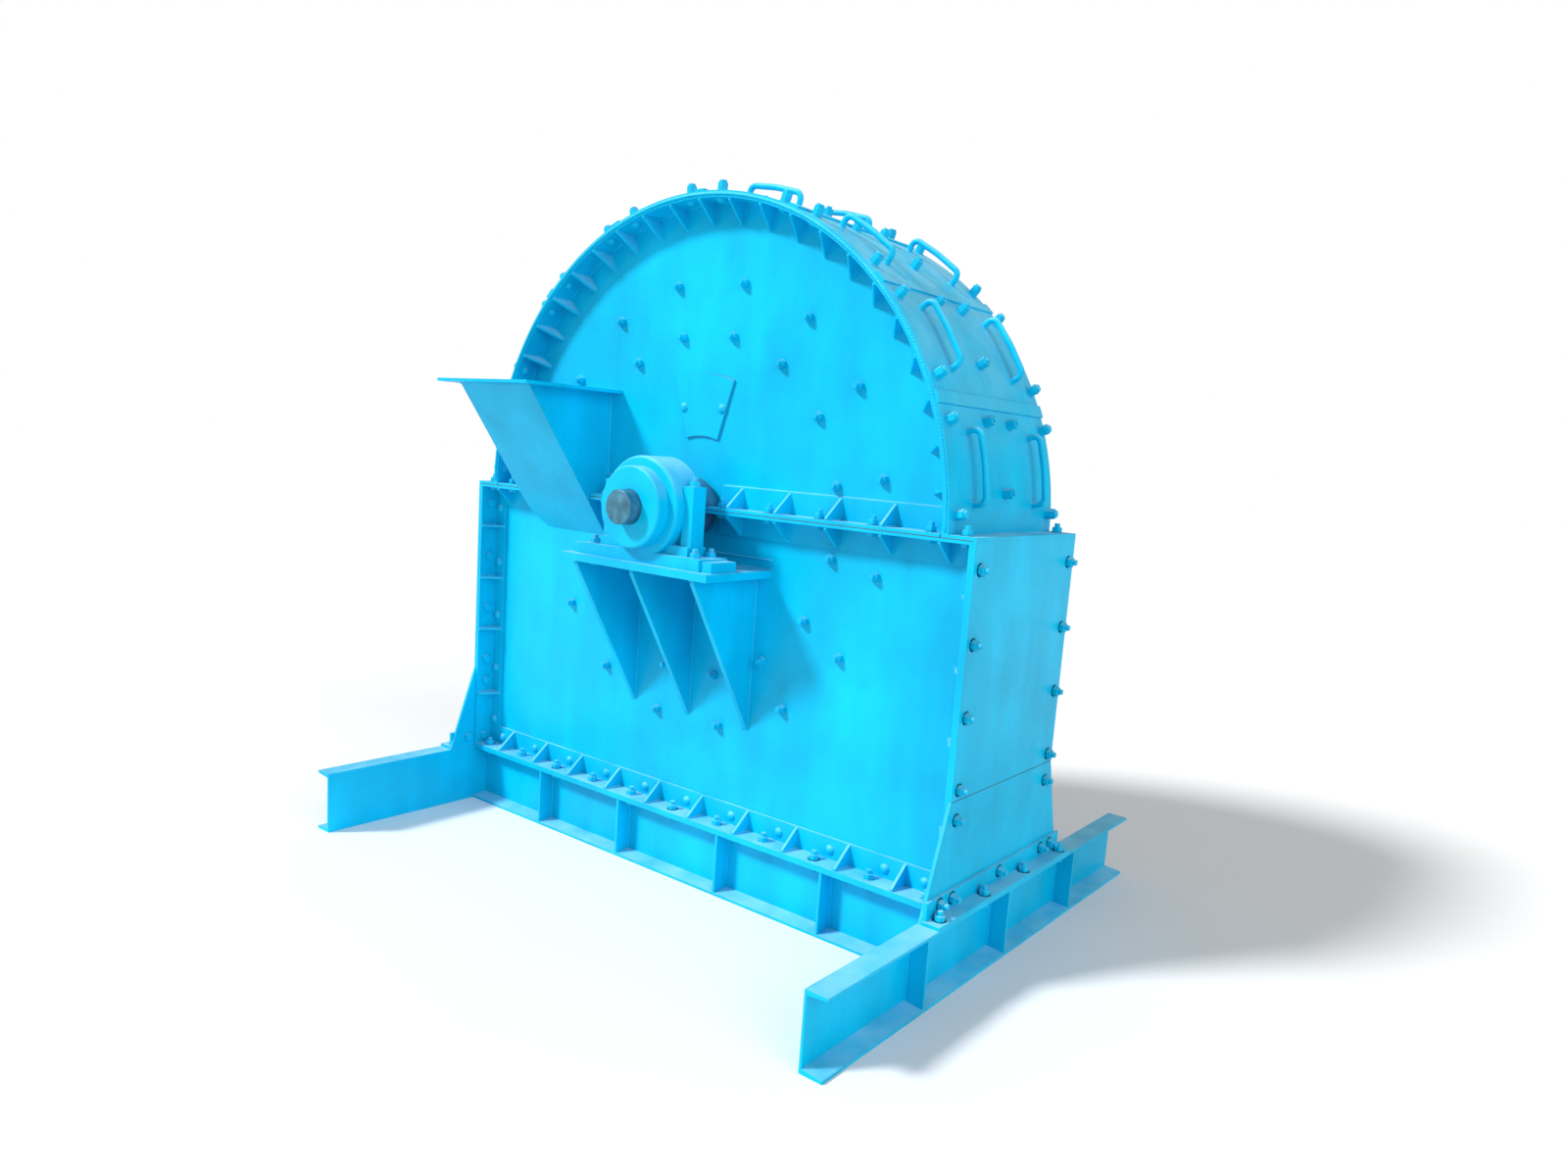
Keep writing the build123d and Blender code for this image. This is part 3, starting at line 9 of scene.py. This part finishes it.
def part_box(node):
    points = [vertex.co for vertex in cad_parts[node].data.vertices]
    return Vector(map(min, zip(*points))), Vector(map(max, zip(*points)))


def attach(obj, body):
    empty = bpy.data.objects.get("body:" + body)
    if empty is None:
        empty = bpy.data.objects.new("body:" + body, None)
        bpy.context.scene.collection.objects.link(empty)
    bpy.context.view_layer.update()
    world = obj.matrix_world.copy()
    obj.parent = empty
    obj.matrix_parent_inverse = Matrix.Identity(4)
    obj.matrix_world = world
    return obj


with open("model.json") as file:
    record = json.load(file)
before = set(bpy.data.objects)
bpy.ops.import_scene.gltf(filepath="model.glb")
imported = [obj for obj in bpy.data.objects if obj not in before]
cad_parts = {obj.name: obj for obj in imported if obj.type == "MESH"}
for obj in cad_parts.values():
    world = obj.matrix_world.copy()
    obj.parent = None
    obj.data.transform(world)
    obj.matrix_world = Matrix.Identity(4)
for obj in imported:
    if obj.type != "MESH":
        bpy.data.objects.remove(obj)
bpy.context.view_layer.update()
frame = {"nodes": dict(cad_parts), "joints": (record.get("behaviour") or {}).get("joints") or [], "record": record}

# Camera, in metres and degrees
CAMERA_PLACE = (2.796, -3.353, 1.693)
CAMERA_HEADING = 128.03
CAMERA_PITCH = -8.61
CAMERA_ROLL = 3.95
CAMERA_LENS = 24.73
CAMERA_SHIFT = (0.0074, 0.0159)

# Colours, linear
PAINT = (0.0, 0.55, 0.88)
PAINT_DEEP = (0.0, 0.40, 0.66)
# The pale blue on upward faces is partly dust and partly a painted sheen of the sky's light.
PAINT_DUST_AND_SHEEN = (0.30, 0.70, 0.87)
# Both shaft steels are tinted blue, partly for a bluish film on the steel and partly as a painted reflection of
# the blue casing.
SHAFT_STEEL = (0.05, 0.16, 0.24)
SHAFT_STEEL_LIGHT = (0.10, 0.30, 0.42)
GROUND_STEEL = (0.58, 0.60, 0.62)
CAST_DARK = (0.035, 0.032, 0.030)
CAST_LIGHT = (0.12, 0.10, 0.085)
RUST = (0.16, 0.055, 0.02)
GROUND_STEEL_DULL = (0.48, 0.50, 0.52)
FLOOR_COLOUR = (0.86, 0.87, 0.88)
FLOOR_SHADE = 0.985
FLOOR_HALF = 60

# Sizes that the welds read the frame by, in metres
BAND_T = 0.012
FLANGE_CLEAR = 0.092
CORNER_CLEAR = 0.09
BOTTOM_DROP = 0.5
LONG_ANGLE = 0.2
HANDLE_FOOT = 0.004
NEAR = 0.001
ARC_POINTS = 181

# Welds and fasteners
WELD_R = 0.0048
FINE_WELD_R = 0.0035
RIM_WELD_R = 0.0062
FOOT_RING = 1.15
SEAM_R = 0.0012
WELD_STEP = 0.004
WELD_RIPPLE = 0.012
WELD_SIDES = 7
RIPPLE_SHARE = 0.2
THREAD_PITCH = 0.0028
THREAD_DEPTH = 0.0009
TURNED_SIDES = 20
WASHER_SPREAD = 1.18
WASHER_T = 0.0025
HEX_POINTS = 26
WASHER_EDGE = 0.0008
WASHER_LAND = 0.75
STUD_END = 0.0004
BEAD_END = 0.4
SAME_POINT = 5
EDGE_ROUND = 0.0022

RNG = np.random.default_rng(7)
AXIS = Vector(next(j["pos_m"] for j in frame["joints"] if j["name"] == "rotor_spin"))


# Materials
def new_material(name):
    """An empty node material: its nodes, links and principled shader."""
    material = bpy.data.materials.new(name)
    material.use_nodes = True
    nodes, links = material.node_tree.nodes, material.node_tree.links
    return material, nodes, links, nodes["Principled BSDF"]


def noise(nodes, links, scale, detail=4.0, roughness=0.55, stretch=(1, 1, 1), centre=(0, 0, 0)):
    """A noise texture in object coordinates."""
    texture = nodes.new("ShaderNodeTexNoise")
    texture.inputs["Scale"].default_value = scale
    texture.inputs["Detail"].default_value = detail
    texture.inputs["Roughness"].default_value = roughness
    links.new(place(nodes, links, stretch, centre), texture.inputs["Vector"])
    return texture.outputs["Fac"]


def place(nodes, links, stretch=(1, 1, 1), centre=(0, 0, 0)):
    """Object coordinates, stretched about a centre."""
    coordinates = nodes.new("ShaderNodeTexCoord")
    mapping = nodes.new("ShaderNodeMapping")
    mapping.vector_type = "POINT"
    mapping.inputs["Scale"].default_value = stretch
    mapping.inputs["Location"].default_value = [-c * s for c, s in zip(centre, stretch)]
    links.new(coordinates.outputs["Object"], mapping.inputs["Vector"])
    return mapping.outputs["Vector"]


def ramp(nodes, links, value, low, high, start=0.0, end=1.0):
    """A value mapped from low..high to start..end, clamped."""
    node = nodes.new("ShaderNodeMapRange")
    node.inputs["From Min"].default_value = low
    node.inputs["From Max"].default_value = high
    node.inputs["To Min"].default_value = start
    node.inputs["To Max"].default_value = end
    links.new(value, node.inputs["Value"])
    return node.outputs["Result"]


def maths(nodes, links, operation, a, b):
    """One arithmetic node on two sockets or numbers."""
    node = nodes.new("ShaderNodeMath")
    node.operation = operation
    for socket, value in zip(node.inputs, (a, b)):
        if isinstance(value, (int, float)):
            socket.default_value = value
        else:
            links.new(value, socket)
    return node.outputs[0]


def mix(nodes, links, factor, a, b):
    """A colour between two colours or sockets."""
    node = nodes.new("ShaderNodeMix")
    node.data_type = "RGBA"
    links.new(factor, node.inputs["Factor"])
    for socket, colour in ((node.inputs["A"], a), (node.inputs["B"], b)):
        if isinstance(colour, tuple):
            socket.default_value = (*colour, 1)
        else:
            links.new(colour, socket)
    return node.outputs["Result"]


def bump(nodes, links, height, distance, strength=1.0, normal=None):
    """A bump of this height in metres, on top of another normal."""
    node = nodes.new("ShaderNodeBump")
    node.inputs["Distance"].default_value = distance
    node.inputs["Strength"].default_value = strength
    links.new(height, node.inputs["Height"])
    if normal:
        links.new(normal, node.inputs["Normal"])
    return node.outputs["Normal"]


def soft_edge(nodes):
    """The normal with sharp edges rounded off."""
    node = nodes.new("ShaderNodeBevel")
    node.samples = 4
    node.inputs["Radius"].default_value = EDGE_ROUND
    return node.outputs["Normal"]


def blue_paint():
    """Brushed and sprayed enamel: uneven film, orange peel, pale dust and a painted sheen on upward faces."""
    material, nodes, links, shader = new_material("blue_enamel")
    patches = noise(nodes, links, 2.2, 5)
    film = noise(nodes, links, 38, 3, 0.6)
    streaks = noise(nodes, links, 9, 3, 0.5, (1, 1, 0.22))
    tone = maths(nodes, links, "ADD", maths(nodes, links, "MULTIPLY", patches, 0.65),
                 maths(nodes, links, "MULTIPLY", streaks, 0.35))
    colour = mix(nodes, links, ramp(nodes, links, tone, 0.36, 0.66), PAINT_DEEP, PAINT)
    facing = nodes.new("ShaderNodeSeparateXYZ")
    geometry = nodes.new("ShaderNodeNewGeometry")
    links.new(geometry.outputs["Normal"], facing.inputs["Vector"])
    # Upward faces turn paler: partly settled dust, partly a painted sheen of the sky's light. The roughness rises
    # with it.
    upward = ramp(nodes, links, facing.outputs["Z"], 0.2, 0.95, 0.0, 0.75)
    patchy = ramp(nodes, links, noise(nodes, links, 6, 6), 0.35, 0.65, 0.35, 1.0)
    dust_and_sheen = maths(nodes, links, "MULTIPLY", upward, patchy)
    colour = mix(nodes, links, dust_and_sheen, colour, PAINT_DUST_AND_SHEEN)
    links.new(colour, shader.inputs["Base Color"])
    rough = maths(nodes, links, "ADD", ramp(nodes, links, film, 0.3, 0.7, 0.32, 0.46),
                  maths(nodes, links, "MULTIPLY", dust_and_sheen, 0.25))
    links.new(rough, shader.inputs["Roughness"])
    waviness = bump(nodes, links, noise(nodes, links, 3.5, 2), 0.004, 1.0, soft_edge(nodes))
    brushed = bump(nodes, links, noise(nodes, links, 70, 3, 0.5, (1, 1, 0.35)), 0.0005, 0.8, waviness)
    peel = bump(nodes, links, noise(nodes, links, 420, 2), 0.00022, 0.8, brushed)
    links.new(peel, shader.inputs["Normal"])
    shader.inputs["Specular IOR Level"].default_value = 0.14
    shader.inputs["Coat Weight"].default_value = 0.05
    shader.inputs["Coat Roughness"].default_value = 0.16
    return material


def turned_steel():
    """Dark oiled steel with turning marks round the shaft's axis."""
    material, nodes, links, shader = new_material("turned_steel")
    wave = nodes.new("ShaderNodeTexWave")
    wave.wave_type = "RINGS"
    wave.rings_direction = "Y"
    wave.inputs["Scale"].default_value = 160
    wave.inputs["Distortion"].default_value = 0.6
    wave.inputs["Detail"].default_value = 2
    links.new(place(nodes, links, centre=AXIS), wave.inputs["Vector"])
    stains = noise(nodes, links, 22, 6)
    # The blue tint of both steels is partly a bluish film and partly a painted reflection of the blue casing.
    colour = mix(nodes, links, ramp(nodes, links, stains, 0.35, 0.7), SHAFT_STEEL, SHAFT_STEEL_LIGHT)
    links.new(colour, shader.inputs["Base Color"])
    shader.inputs["Metallic"].default_value = 0.75
    links.new(ramp(nodes, links, stains, 0.3, 0.7, 0.30, 0.50), shader.inputs["Roughness"])
    rings = bump(nodes, links, wave.outputs["Fac"], 0.0003, 0.6, soft_edge(nodes))
    links.new(bump(nodes, links, noise(nodes, links, 260, 3), 0.0002, 0.5, rings), shader.inputs["Normal"])
    return material


def ground_steel():
    """Bright ground bearing steel."""
    material, nodes, links, shader = new_material("ground_steel")
    colour = mix(nodes, links, noise(nodes, links, 60), GROUND_STEEL_DULL, GROUND_STEEL)
    links.new(colour, shader.inputs["Base Color"])
    shader.inputs["Metallic"].default_value = 1.0
    links.new(ramp(nodes, links, noise(nodes, links, 90), 0.3, 0.7, 0.14, 0.24), shader.inputs["Roughness"])
    links.new(bump(nodes, links, noise(nodes, links, 500, 2), 0.0001, 0.5), shader.inputs["Normal"])
    return material


def wear_steel():
    """Rough cast manganese steel with scale and a little rust."""
    material, nodes, links, shader = new_material("wear_steel")
    scale = noise(nodes, links, 24, 8, 0.65)
    patches = noise(nodes, links, 7, 6, 0.6)
    colour = mix(nodes, links, ramp(nodes, links, scale, 0.35, 0.7), CAST_DARK, CAST_LIGHT)
    colour = mix(nodes, links, ramp(nodes, links, patches, 0.52, 0.75, 0.0, 0.7), colour, RUST)
    links.new(colour, shader.inputs["Base Color"])
    shader.inputs["Metallic"].default_value = 0.55
    links.new(ramp(nodes, links, scale, 0.3, 0.7, 0.45, 0.75), shader.inputs["Roughness"])
    links.new(bump(nodes, links, scale, 0.0015, 0.8), shader.inputs["Normal"])
    return material


def floor_finish():
    """Pale even concrete."""
    material, nodes, links, shader = new_material("pale_floor")
    shade = ramp(nodes, links, noise(nodes, links, 0.8, 3), 0.3, 0.7, 0.0, 1.0)
    darker = tuple(FLOOR_SHADE * c for c in FLOOR_COLOUR)
    links.new(mix(nodes, links, shade, FLOOR_COLOUR, darker), shader.inputs["Base Color"])
    shader.inputs["Roughness"].default_value = 0.8
    return material


MATERIALS = {
    "blue_paint": blue_paint(),
    "bare_steel": turned_steel(),
    "bearing_steel": ground_steel(),
    "wear_steel": wear_steel(),
}


def dress_cad_nodes():
    """Gives each CAD node the material of its slot."""
    slots = {part["node"]: part["material_slot"] for part in frame["record"]["subparts"]}
    for name, node in frame["nodes"].items():
        node.data.materials.clear()
        node.data.materials.append(MATERIALS[slots[name]])


# Reading the frame
def solids(name):
    """The separate solids of a CAD node, each as (points, triangles)."""
    mesh = frame["nodes"][name].data
    points = np.array([vertex.co for vertex in mesh.vertices])
    keys, where = np.unique(np.round(points, SAME_POINT), axis=0, return_inverse=True)
    mesh.calc_loop_triangles()
    faces = where.reshape(-1)[np.array([t.vertices[:] for t in mesh.loop_triangles])]
    label = np.arange(len(keys))
    while True:
        lowest = label[faces].min(axis=1)
        before = label.copy()
        for corner in range(3):
            np.minimum.at(label, faces[:, corner], lowest)
        label = label[label]
        if (label == before).all():
            break
    found = []
    for root in np.unique(label[faces[:, 0]]):
        mine = faces[label[faces[:, 0]] == root]
        used, local = np.unique(mine, return_inverse=True)
        found.append((keys[used], local.reshape(mine.shape)))
    return found


def low_high(name):
    """The corners of a CAD node's box."""
    low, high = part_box(name)
    return Vector(low), Vector(high)


# Mesh pieces
def make_piece(name, points, faces, slot, body="casing", smooth=True):
    """A mesh piece that rides on a body and takes a record slot's finish."""
    mesh = bpy.data.meshes.new(name)
    mesh.from_pydata([tuple(p) for p in points], [], [tuple(f) for f in faces])
    mesh.polygons.foreach_set("use_smooth", [smooth] * len(mesh.polygons))
    mesh.materials.append(MATERIALS[slot])
    piece = bpy.data.objects.new(name, mesh)
    bpy.context.scene.collection.objects.link(piece)
    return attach(piece, body)


def joined(parts):
    """Several (points, faces) as one."""
    points, faces, start = [], [], 0
    for part_points, part_faces in parts:
        points.extend(part_points)
        faces.extend([[start + corner for corner in face] for face in part_faces])
        start += len(part_points)
    return points, faces


def swept(rings):
    """Points and faces of a skin over rings that have as many points each, closed at both ends."""
    count, sides = rings.shape[:2]
    faces = []
    for k in range(count - 1):
        for i in range(sides):
            j = (i + 1) % sides
            faces.append([k * sides + i, k * sides + j, (k + 1) * sides + j, (k + 1) * sides + i])
    faces.append(list(range(sides))[::-1])
    faces.append([(count - 1) * sides + i for i in range(sides)])
    return rings.reshape(-1, 3).tolist(), faces


def turned(profile, origin, axis):
    """Points and faces of a profile of (radius, height) turned about an axis."""
    side, up = cross_axes(axis)
    angles = np.arange(TURNED_SIDES) * 2 * pi / TURNED_SIDES
    spokes = np.cos(angles)[:, None] * side + np.sin(angles)[:, None] * up
    rings = np.array([origin + height * axis + radius * spokes for radius, height in profile])
    return swept(rings)


def cross_axes(axis):
    """Two directions square to an axis."""
    helper = np.array([0.0, 1.0, 0.0]) if abs(axis[1]) < 0.9 else np.array([1.0, 0.0, 0.0])
    side = np.cross(axis, helper)
    side /= np.linalg.norm(side)
    return side, np.cross(axis, side)


def bead(line, radius=WELD_R):
    """Points and faces of a rippled weld bead along a line of points."""
    line = np.asarray(line, float)
    reach = np.concatenate([[0], np.cumsum(np.linalg.norm(np.diff(line, axis=0), axis=1))])
    count = max(4, int(reach[-1] / WELD_STEP))
    along = np.linspace(0, reach[-1], count)
    middle = np.stack([np.interp(along, reach, line[:, k]) for k in range(3)], axis=1)
    ahead = np.gradient(middle, axis=0)
    ahead /= np.linalg.norm(ahead, axis=1)[:, None]
    axes = [cross_axes(direction) for direction in ahead]
    ripple = RIPPLE_SHARE * np.sin(2 * pi * along / WELD_RIPPLE)
    size = radius * (1 + ripple + RNG.normal(0, RIPPLE_SHARE / 4, count))
    size[[0, -1]] *= BEAD_END
    angles = np.arange(WELD_SIDES) * 2 * pi / WELD_SIDES
    across, along_up = np.cos(angles)[:, None], np.sin(angles)[:, None]
    rings = np.array([point + r * (across * side + along_up * up)
                      for point, r, (side, up) in zip(middle, size, axes)])
    return swept(rings)


def arc(radius, y, start, end):
    """Points on an arc about the shaft's axis."""
    angles = np.radians(np.linspace(start, end, ARC_POINTS))
    xs, zs = AXIS.x + radius * np.cos(angles), AXIS.z + radius * np.sin(angles)
    return np.stack([xs, np.full(ARC_POINTS, y), zs], axis=1)


# Welds
def rim_welds():
    """Beads where the rim bands meet the hood walls and the covers."""
    low, high = low_high("rim_bands")
    wall = low_high("hood_wall_front")[0].y
    inner = high.z - AXIS.z - BAND_T
    clear = np.degrees(np.arcsin(FLANGE_CLEAR / inner))
    for name, side in (("front", 1), ("rear", -1)):
        lines = [arc(inner, side * wall, clear, 180 - clear), arc(inner + BAND_T, side * low.y, 1, 179)]
        make_piece(f"weld_rim_{name}", *joined([bead(line, RIM_WELD_R) for line in lines]), "blue_paint")


def angle_welds():
    """Beads along the toes of the long flange angles."""
    wall = low_high("hood_wall_front")[0].y
    parts = []
    for name in ("hood_split_angles", "lower_frame_angles"):
        for points, _ in solids(name):
            low, high = points.min(axis=0), points.max(axis=0)
            side = 1 if high[1] < 0 else -1
            y = side * wall
            if high[0] - low[0] > LONG_ANGLE:
                upward = name == "hood_split_angles" or high[2] < AXIS.z - BOTTOM_DROP
                z = high[2] if upward else low[2]
                parts.append(bead([(low[0], y, z), (high[0], y, z)]))
            else:
                x = low[0] if low[0] > 0 else high[0]
                parts.append(bead([(x, y, low[2] + CORNER_CLEAR), (x, y, high[2] - CORNER_CLEAR)]))
    make_piece("weld_flange_angles", *joined(parts), "blue_paint")


def gusset_welds():
    """Fine beads on both faces of each gusset, along its two square edges."""
    parts = []
    for points, _ in solids("frame_gussets"):
        centre = points.mean(axis=0)
        _, _, rows = np.linalg.svd(points - centre, full_matrices=False)
        flat = (points - centre) @ rows[:2].T
        half = np.abs((points - centre) @ rows[2]).max()
        flat = np.unique(np.round(flat, 4), axis=0)
        flat = flat[np.argsort(np.arctan2(flat[:, 1], flat[:, 0]))]
        best = None
        for k, corner in enumerate(flat):
            a, b = flat[k - 1] - corner, flat[(k + 1) % len(flat)] - corner
            la, lb = np.linalg.norm(a), np.linalg.norm(b)
            if abs(a @ b) < 0.1 * la * lb and (best is None or min(la, lb) > best[0]):
                best = (min(la, lb), corner, a, b)
        if best is None:
            continue
        for leg in best[2:]:
            for side in (-half, half):
                ends = [centre + (best[1] + share * leg) @ rows[:2] + side * rows[2] for share in (0, 1)]
                parts.append(bead(ends, FINE_WELD_R))
    make_piece("weld_gussets", *joined(parts), "blue_paint")


def bracket_welds():
    """Beads down both sides of each bracket rib and round the shelf's joint with the wall."""
    wall = low_high("hood_wall_front")[0].y
    for name, side in (("front", 1), ("rear", -1)):
        node = f"bearing_bracket_{name}"
        points = np.concatenate([points for points, _ in solids(node)])
        low, high = points.min(axis=0), points.max(axis=0)
        feet = np.unique(np.round(points[points[:, 2] < low[2] + NEAR][:, 0], 4))
        heights = np.unique(np.round(points[:, 2], 4))
        shelf = heights[-2]
        lines = [[(x, side * wall, low[2]), (x, side * wall, shelf)] for x in feet]
        lines.append([(low[0], side * wall, high[2]), (high[0], side * wall, high[2])])
        lines.append([(low[0], side * wall, shelf), (high[0], side * wall, shelf)])
        make_piece(f"weld_bracket_{name}", *joined([bead(line) for line in lines]), "blue_paint")


def chute_welds():
    """Beads where the chute meets the wall and its flange."""
    points = np.concatenate([points for points, _ in solids("feed_chute")])
    wall = points[:, 1].max()
    low, high = points.min(axis=0), points.max(axis=0)
    seated = points[points[:, 1] > wall - NEAR]
    left = seated[seated[:, 0] < low[0] + NEAR]
    right = seated[seated[:, 0] > high[0] - NEAR]
    foot = seated[seated[:, 2] < low[2] + NEAR]
    lines = [[(low[0], wall, high[2]), (low[0], wall, left[:, 2].min())],
             [(high[0], wall, high[2]), (high[0], wall, right[:, 2].min())]]
    if len(foot):
        lines.append([(low[0], wall, left[:, 2].min()), (foot[:, 0].min(), wall, low[2])])
        lines.append([(foot[:, 0].max(), wall, low[2]), (high[0], wall, right[:, 2].min())])
    lines.append([(low[0], wall, high[2]), (low[0], low[1], high[2]), (high[0], low[1], high[2]),
                  (high[0], wall, high[2])])
    make_piece("weld_chute", *joined([bead(line) for line in lines]), "blue_paint")


def skid_welds():
    """Beads where the stiffeners meet the channels' webs."""
    parts = []
    for points, _ in solids("skid_stiffeners"):
        low, high = points.min(axis=0), points.max(axis=0)
        if high[1] - low[1] < high[0] - low[0]:
            x = low[0] if low[0] > 0 else high[0]
            lines = [[(x, y, low[2]), (x, y, high[2])] for y in (low[1], high[1])]
        else:
            y = low[1] if low[1] > 0 else high[1]
            lines = [[(x, y, low[2]), (x, y, high[2])] for x in (low[0], high[0])]
        parts.extend(bead(line) for line in lines)
    make_piece("weld_skid", *joined(parts), "blue_paint")


def handle_welds():
    """A ring of weld round each foot of the cover handles."""
    parts = []
    for points, _ in solids("cover_handles"):
        out = points - np.array([AXIS.x, 0, AXIS.z])
        out[:, 1] = 0
        reach = np.linalg.norm(out, axis=1)
        feet = reach < reach.min() + HANDLE_FOOT
        turn = np.arctan2(out[:, 2], out[:, 0])
        middle = (turn[feet].min() + turn[feet].max()) / 2
        for side in (turn < middle, turn >= middle):
            foot = points[feet & side]
            centre = (foot.min(axis=0) + foot.max(axis=0)) / 2
            radius = FOOT_RING * (foot[:, 1].max() - foot[:, 1].min()) / 2
            way = np.array([centre[0] - AXIS.x, 0, centre[2] - AXIS.z])
            way /= np.linalg.norm(way)
            a, b = cross_axes(way)
            angles = np.linspace(0, 2 * pi, 40)
            parts.append(bead([centre + radius * (cos(t) * a + sin(t) * b) for t in angles], FINE_WELD_R))
    make_piece("weld_handles", *joined(parts), "blue_paint")


def seam_lines():
    """The dark joint lines between plates that are bolted or butted together."""
    low, high = low_high("lower_frame_angles")
    plate = low_high("end_plate_right")[0].z
    lines = [[(low.x, y, AXIS.z), (high.x, y, AXIS.z)] for y in (low.y, high.y)]
    for x in (low_high("end_plate_left")[0].x, low_high("end_plate_right")[1].x):
        lines.append([(x, low.y, plate), (x, high.y, plate)])
    points = np.concatenate([points for points, _ in solids("hatch_cover")])
    reach = np.hypot(points[:, 0] - AXIS.x, points[:, 2] - AXIS.z)
    turn = np.degrees(np.arctan2(points[:, 2] - AXIS.z, points[:, 0] - AXIS.x))
    back = points[:, 1].max()
    top, foot = [arc(radius, back, turn.min(), turn.max()) for radius in (reach.max(), reach.min())]
    lines.append(np.concatenate([top, foot[::-1], top[:1]]))
    make_piece("seam_lines", *joined([bead(line, SEAM_R) for line in lines]), "wear_steel")


# Fasteners
def bolt_parts(points):
    """Washers and thread of one bolt, read from its points."""
    centre = points.mean(axis=0)
    sizes, ways = np.linalg.eigh(np.cov((points - centre).T))
    odd = 0 if sizes[1] - sizes[0] > sizes[2] - sizes[1] else 2
    axis = ways[:, odd]
    height = (points - centre) @ axis
    radius = np.linalg.norm(points - centre - height[:, None] * axis, axis=1)
    widest = radius.max()
    wide = height[radius > 0.85 * widest]
    shank = radius[radius < 0.7 * widest].max()
    found = []
    for direction in (1, -1):
        heights = wide[wide * direction > 0] * direction
        if not 10 <= len(heights) <= HEX_POINTS:
            continue
        seat, top = heights.min(), heights.max()
        tip = (height * direction).max()
        way = direction * axis
        edge = WASHER_SPREAD * widest
        washer = [(shank, 0), (edge, 0), (edge, WASHER_LAND * WASHER_T),
                  (edge - WASHER_EDGE, WASHER_T), (shank, WASHER_T)]
        found.append(turned(washer, centre + seat * way, way))
        if tip - top > 2 * THREAD_PITCH:
            turns = int((tip - top) / THREAD_PITCH)
            thread = [(shank + THREAD_DEPTH * (k % 2), top + k * (tip - top) / (2 * turns))
                      for k in range(2 * turns)]
            found.append(turned([*thread, (shank - THREAD_DEPTH, tip + STUD_END)], centre, way))
    return found


def fasteners():
    """Washers under the nuts and threads on the studs' ends."""
    for name in ("frame_bolts", "bearing_bolts", "cover_bolts", "wall_bolts"):
        parts = [part for points, _ in solids(name) for part in bolt_parts(points)]
        if parts:
            make_piece(f"{name}_washers", *joined(parts), "blue_paint", smooth=False)


# Camera, light and floor
def make_camera():
    """The camera at the photograph's place and angle."""
    camera = bpy.data.objects.new("camera", bpy.data.cameras.new("camera"))
    heading, pitch = radians(CAMERA_HEADING), radians(CAMERA_PITCH)
    forward = Vector((cos(heading) * cos(pitch), sin(heading) * cos(pitch), sin(pitch)))
    camera.rotation_mode = "QUATERNION"
    camera.location = CAMERA_PLACE
    roll = Quaternion((0, 0, 1), radians(CAMERA_ROLL))
    camera.rotation_quaternion = forward.to_track_quat("-Z", "Y") @ roll
    camera.data.lens = CAMERA_LENS
    camera.data.shift_x, camera.data.shift_y = CAMERA_SHIFT
    bpy.context.scene.collection.objects.link(camera)
    bpy.context.scene.camera = camera


def sun_light(name, travel, spread, strength, colour=(1, 1, 1)):
    """A soft far light whose rays travel in one direction."""
    light = bpy.data.lights.new(name, "SUN")
    light.angle = radians(spread)
    light.energy = strength
    light.color = colour
    lamp = bpy.data.objects.new(name, light)
    lamp.rotation_mode = "QUATERNION"
    lamp.rotation_quaternion = Vector(travel).to_track_quat("-Z", "Y")
    bpy.context.scene.collection.objects.link(lamp)


def make_studio():
    """A pale floor, a soft key from the upper left, a side light and a bright even sky."""
    mesh = bpy.data.meshes.new("floor")
    corners = [(x * FLOOR_HALF, y * FLOOR_HALF, 0) for x, y in ((-1, -1), (1, -1), (1, 1), (-1, 1))]
    mesh.from_pydata(corners, [], [(0, 1, 2, 3)])
    mesh.materials.append(floor_finish())
    floor = bpy.data.objects.new("floor", mesh)
    bpy.context.scene.collection.objects.link(floor)
    sun_light("key", (0.46, 0.605, -0.647), 10, 3.3)
    sun_light("side", (-0.86, 0.30, -0.42), 45, 1.3)
    world = bpy.data.worlds.new("studio")
    world.use_nodes = True
    nodes, links = world.node_tree.nodes, world.node_tree.links
    sky = nodes["Background"]
    sky.inputs["Color"].default_value = (1.0, 0.99, 0.97, 1)
    sky.inputs["Strength"].default_value = 0.40
    backdrop = nodes.new("ShaderNodeBackground")
    backdrop.inputs["Color"].default_value = (1, 1, 1, 1)
    backdrop.inputs["Strength"].default_value = 1.0
    rays = nodes.new("ShaderNodeLightPath")
    choose = nodes.new("ShaderNodeMixShader")
    links.new(rays.outputs["Is Camera Ray"], choose.inputs[0])
    links.new(sky.outputs[0], choose.inputs[1])
    links.new(backdrop.outputs[0], choose.inputs[2])
    links.new(choose.outputs[0], nodes["World Output"].inputs["Surface"])
    bpy.context.scene.world = world
    bpy.context.scene.view_settings.view_transform = "Standard"


make_camera()
make_studio()
dress_cad_nodes()
rim_welds()
angle_welds()
gusset_welds()
bracket_welds()
chute_welds()
skid_welds()
handle_welds()
seam_lines()
fasteners()
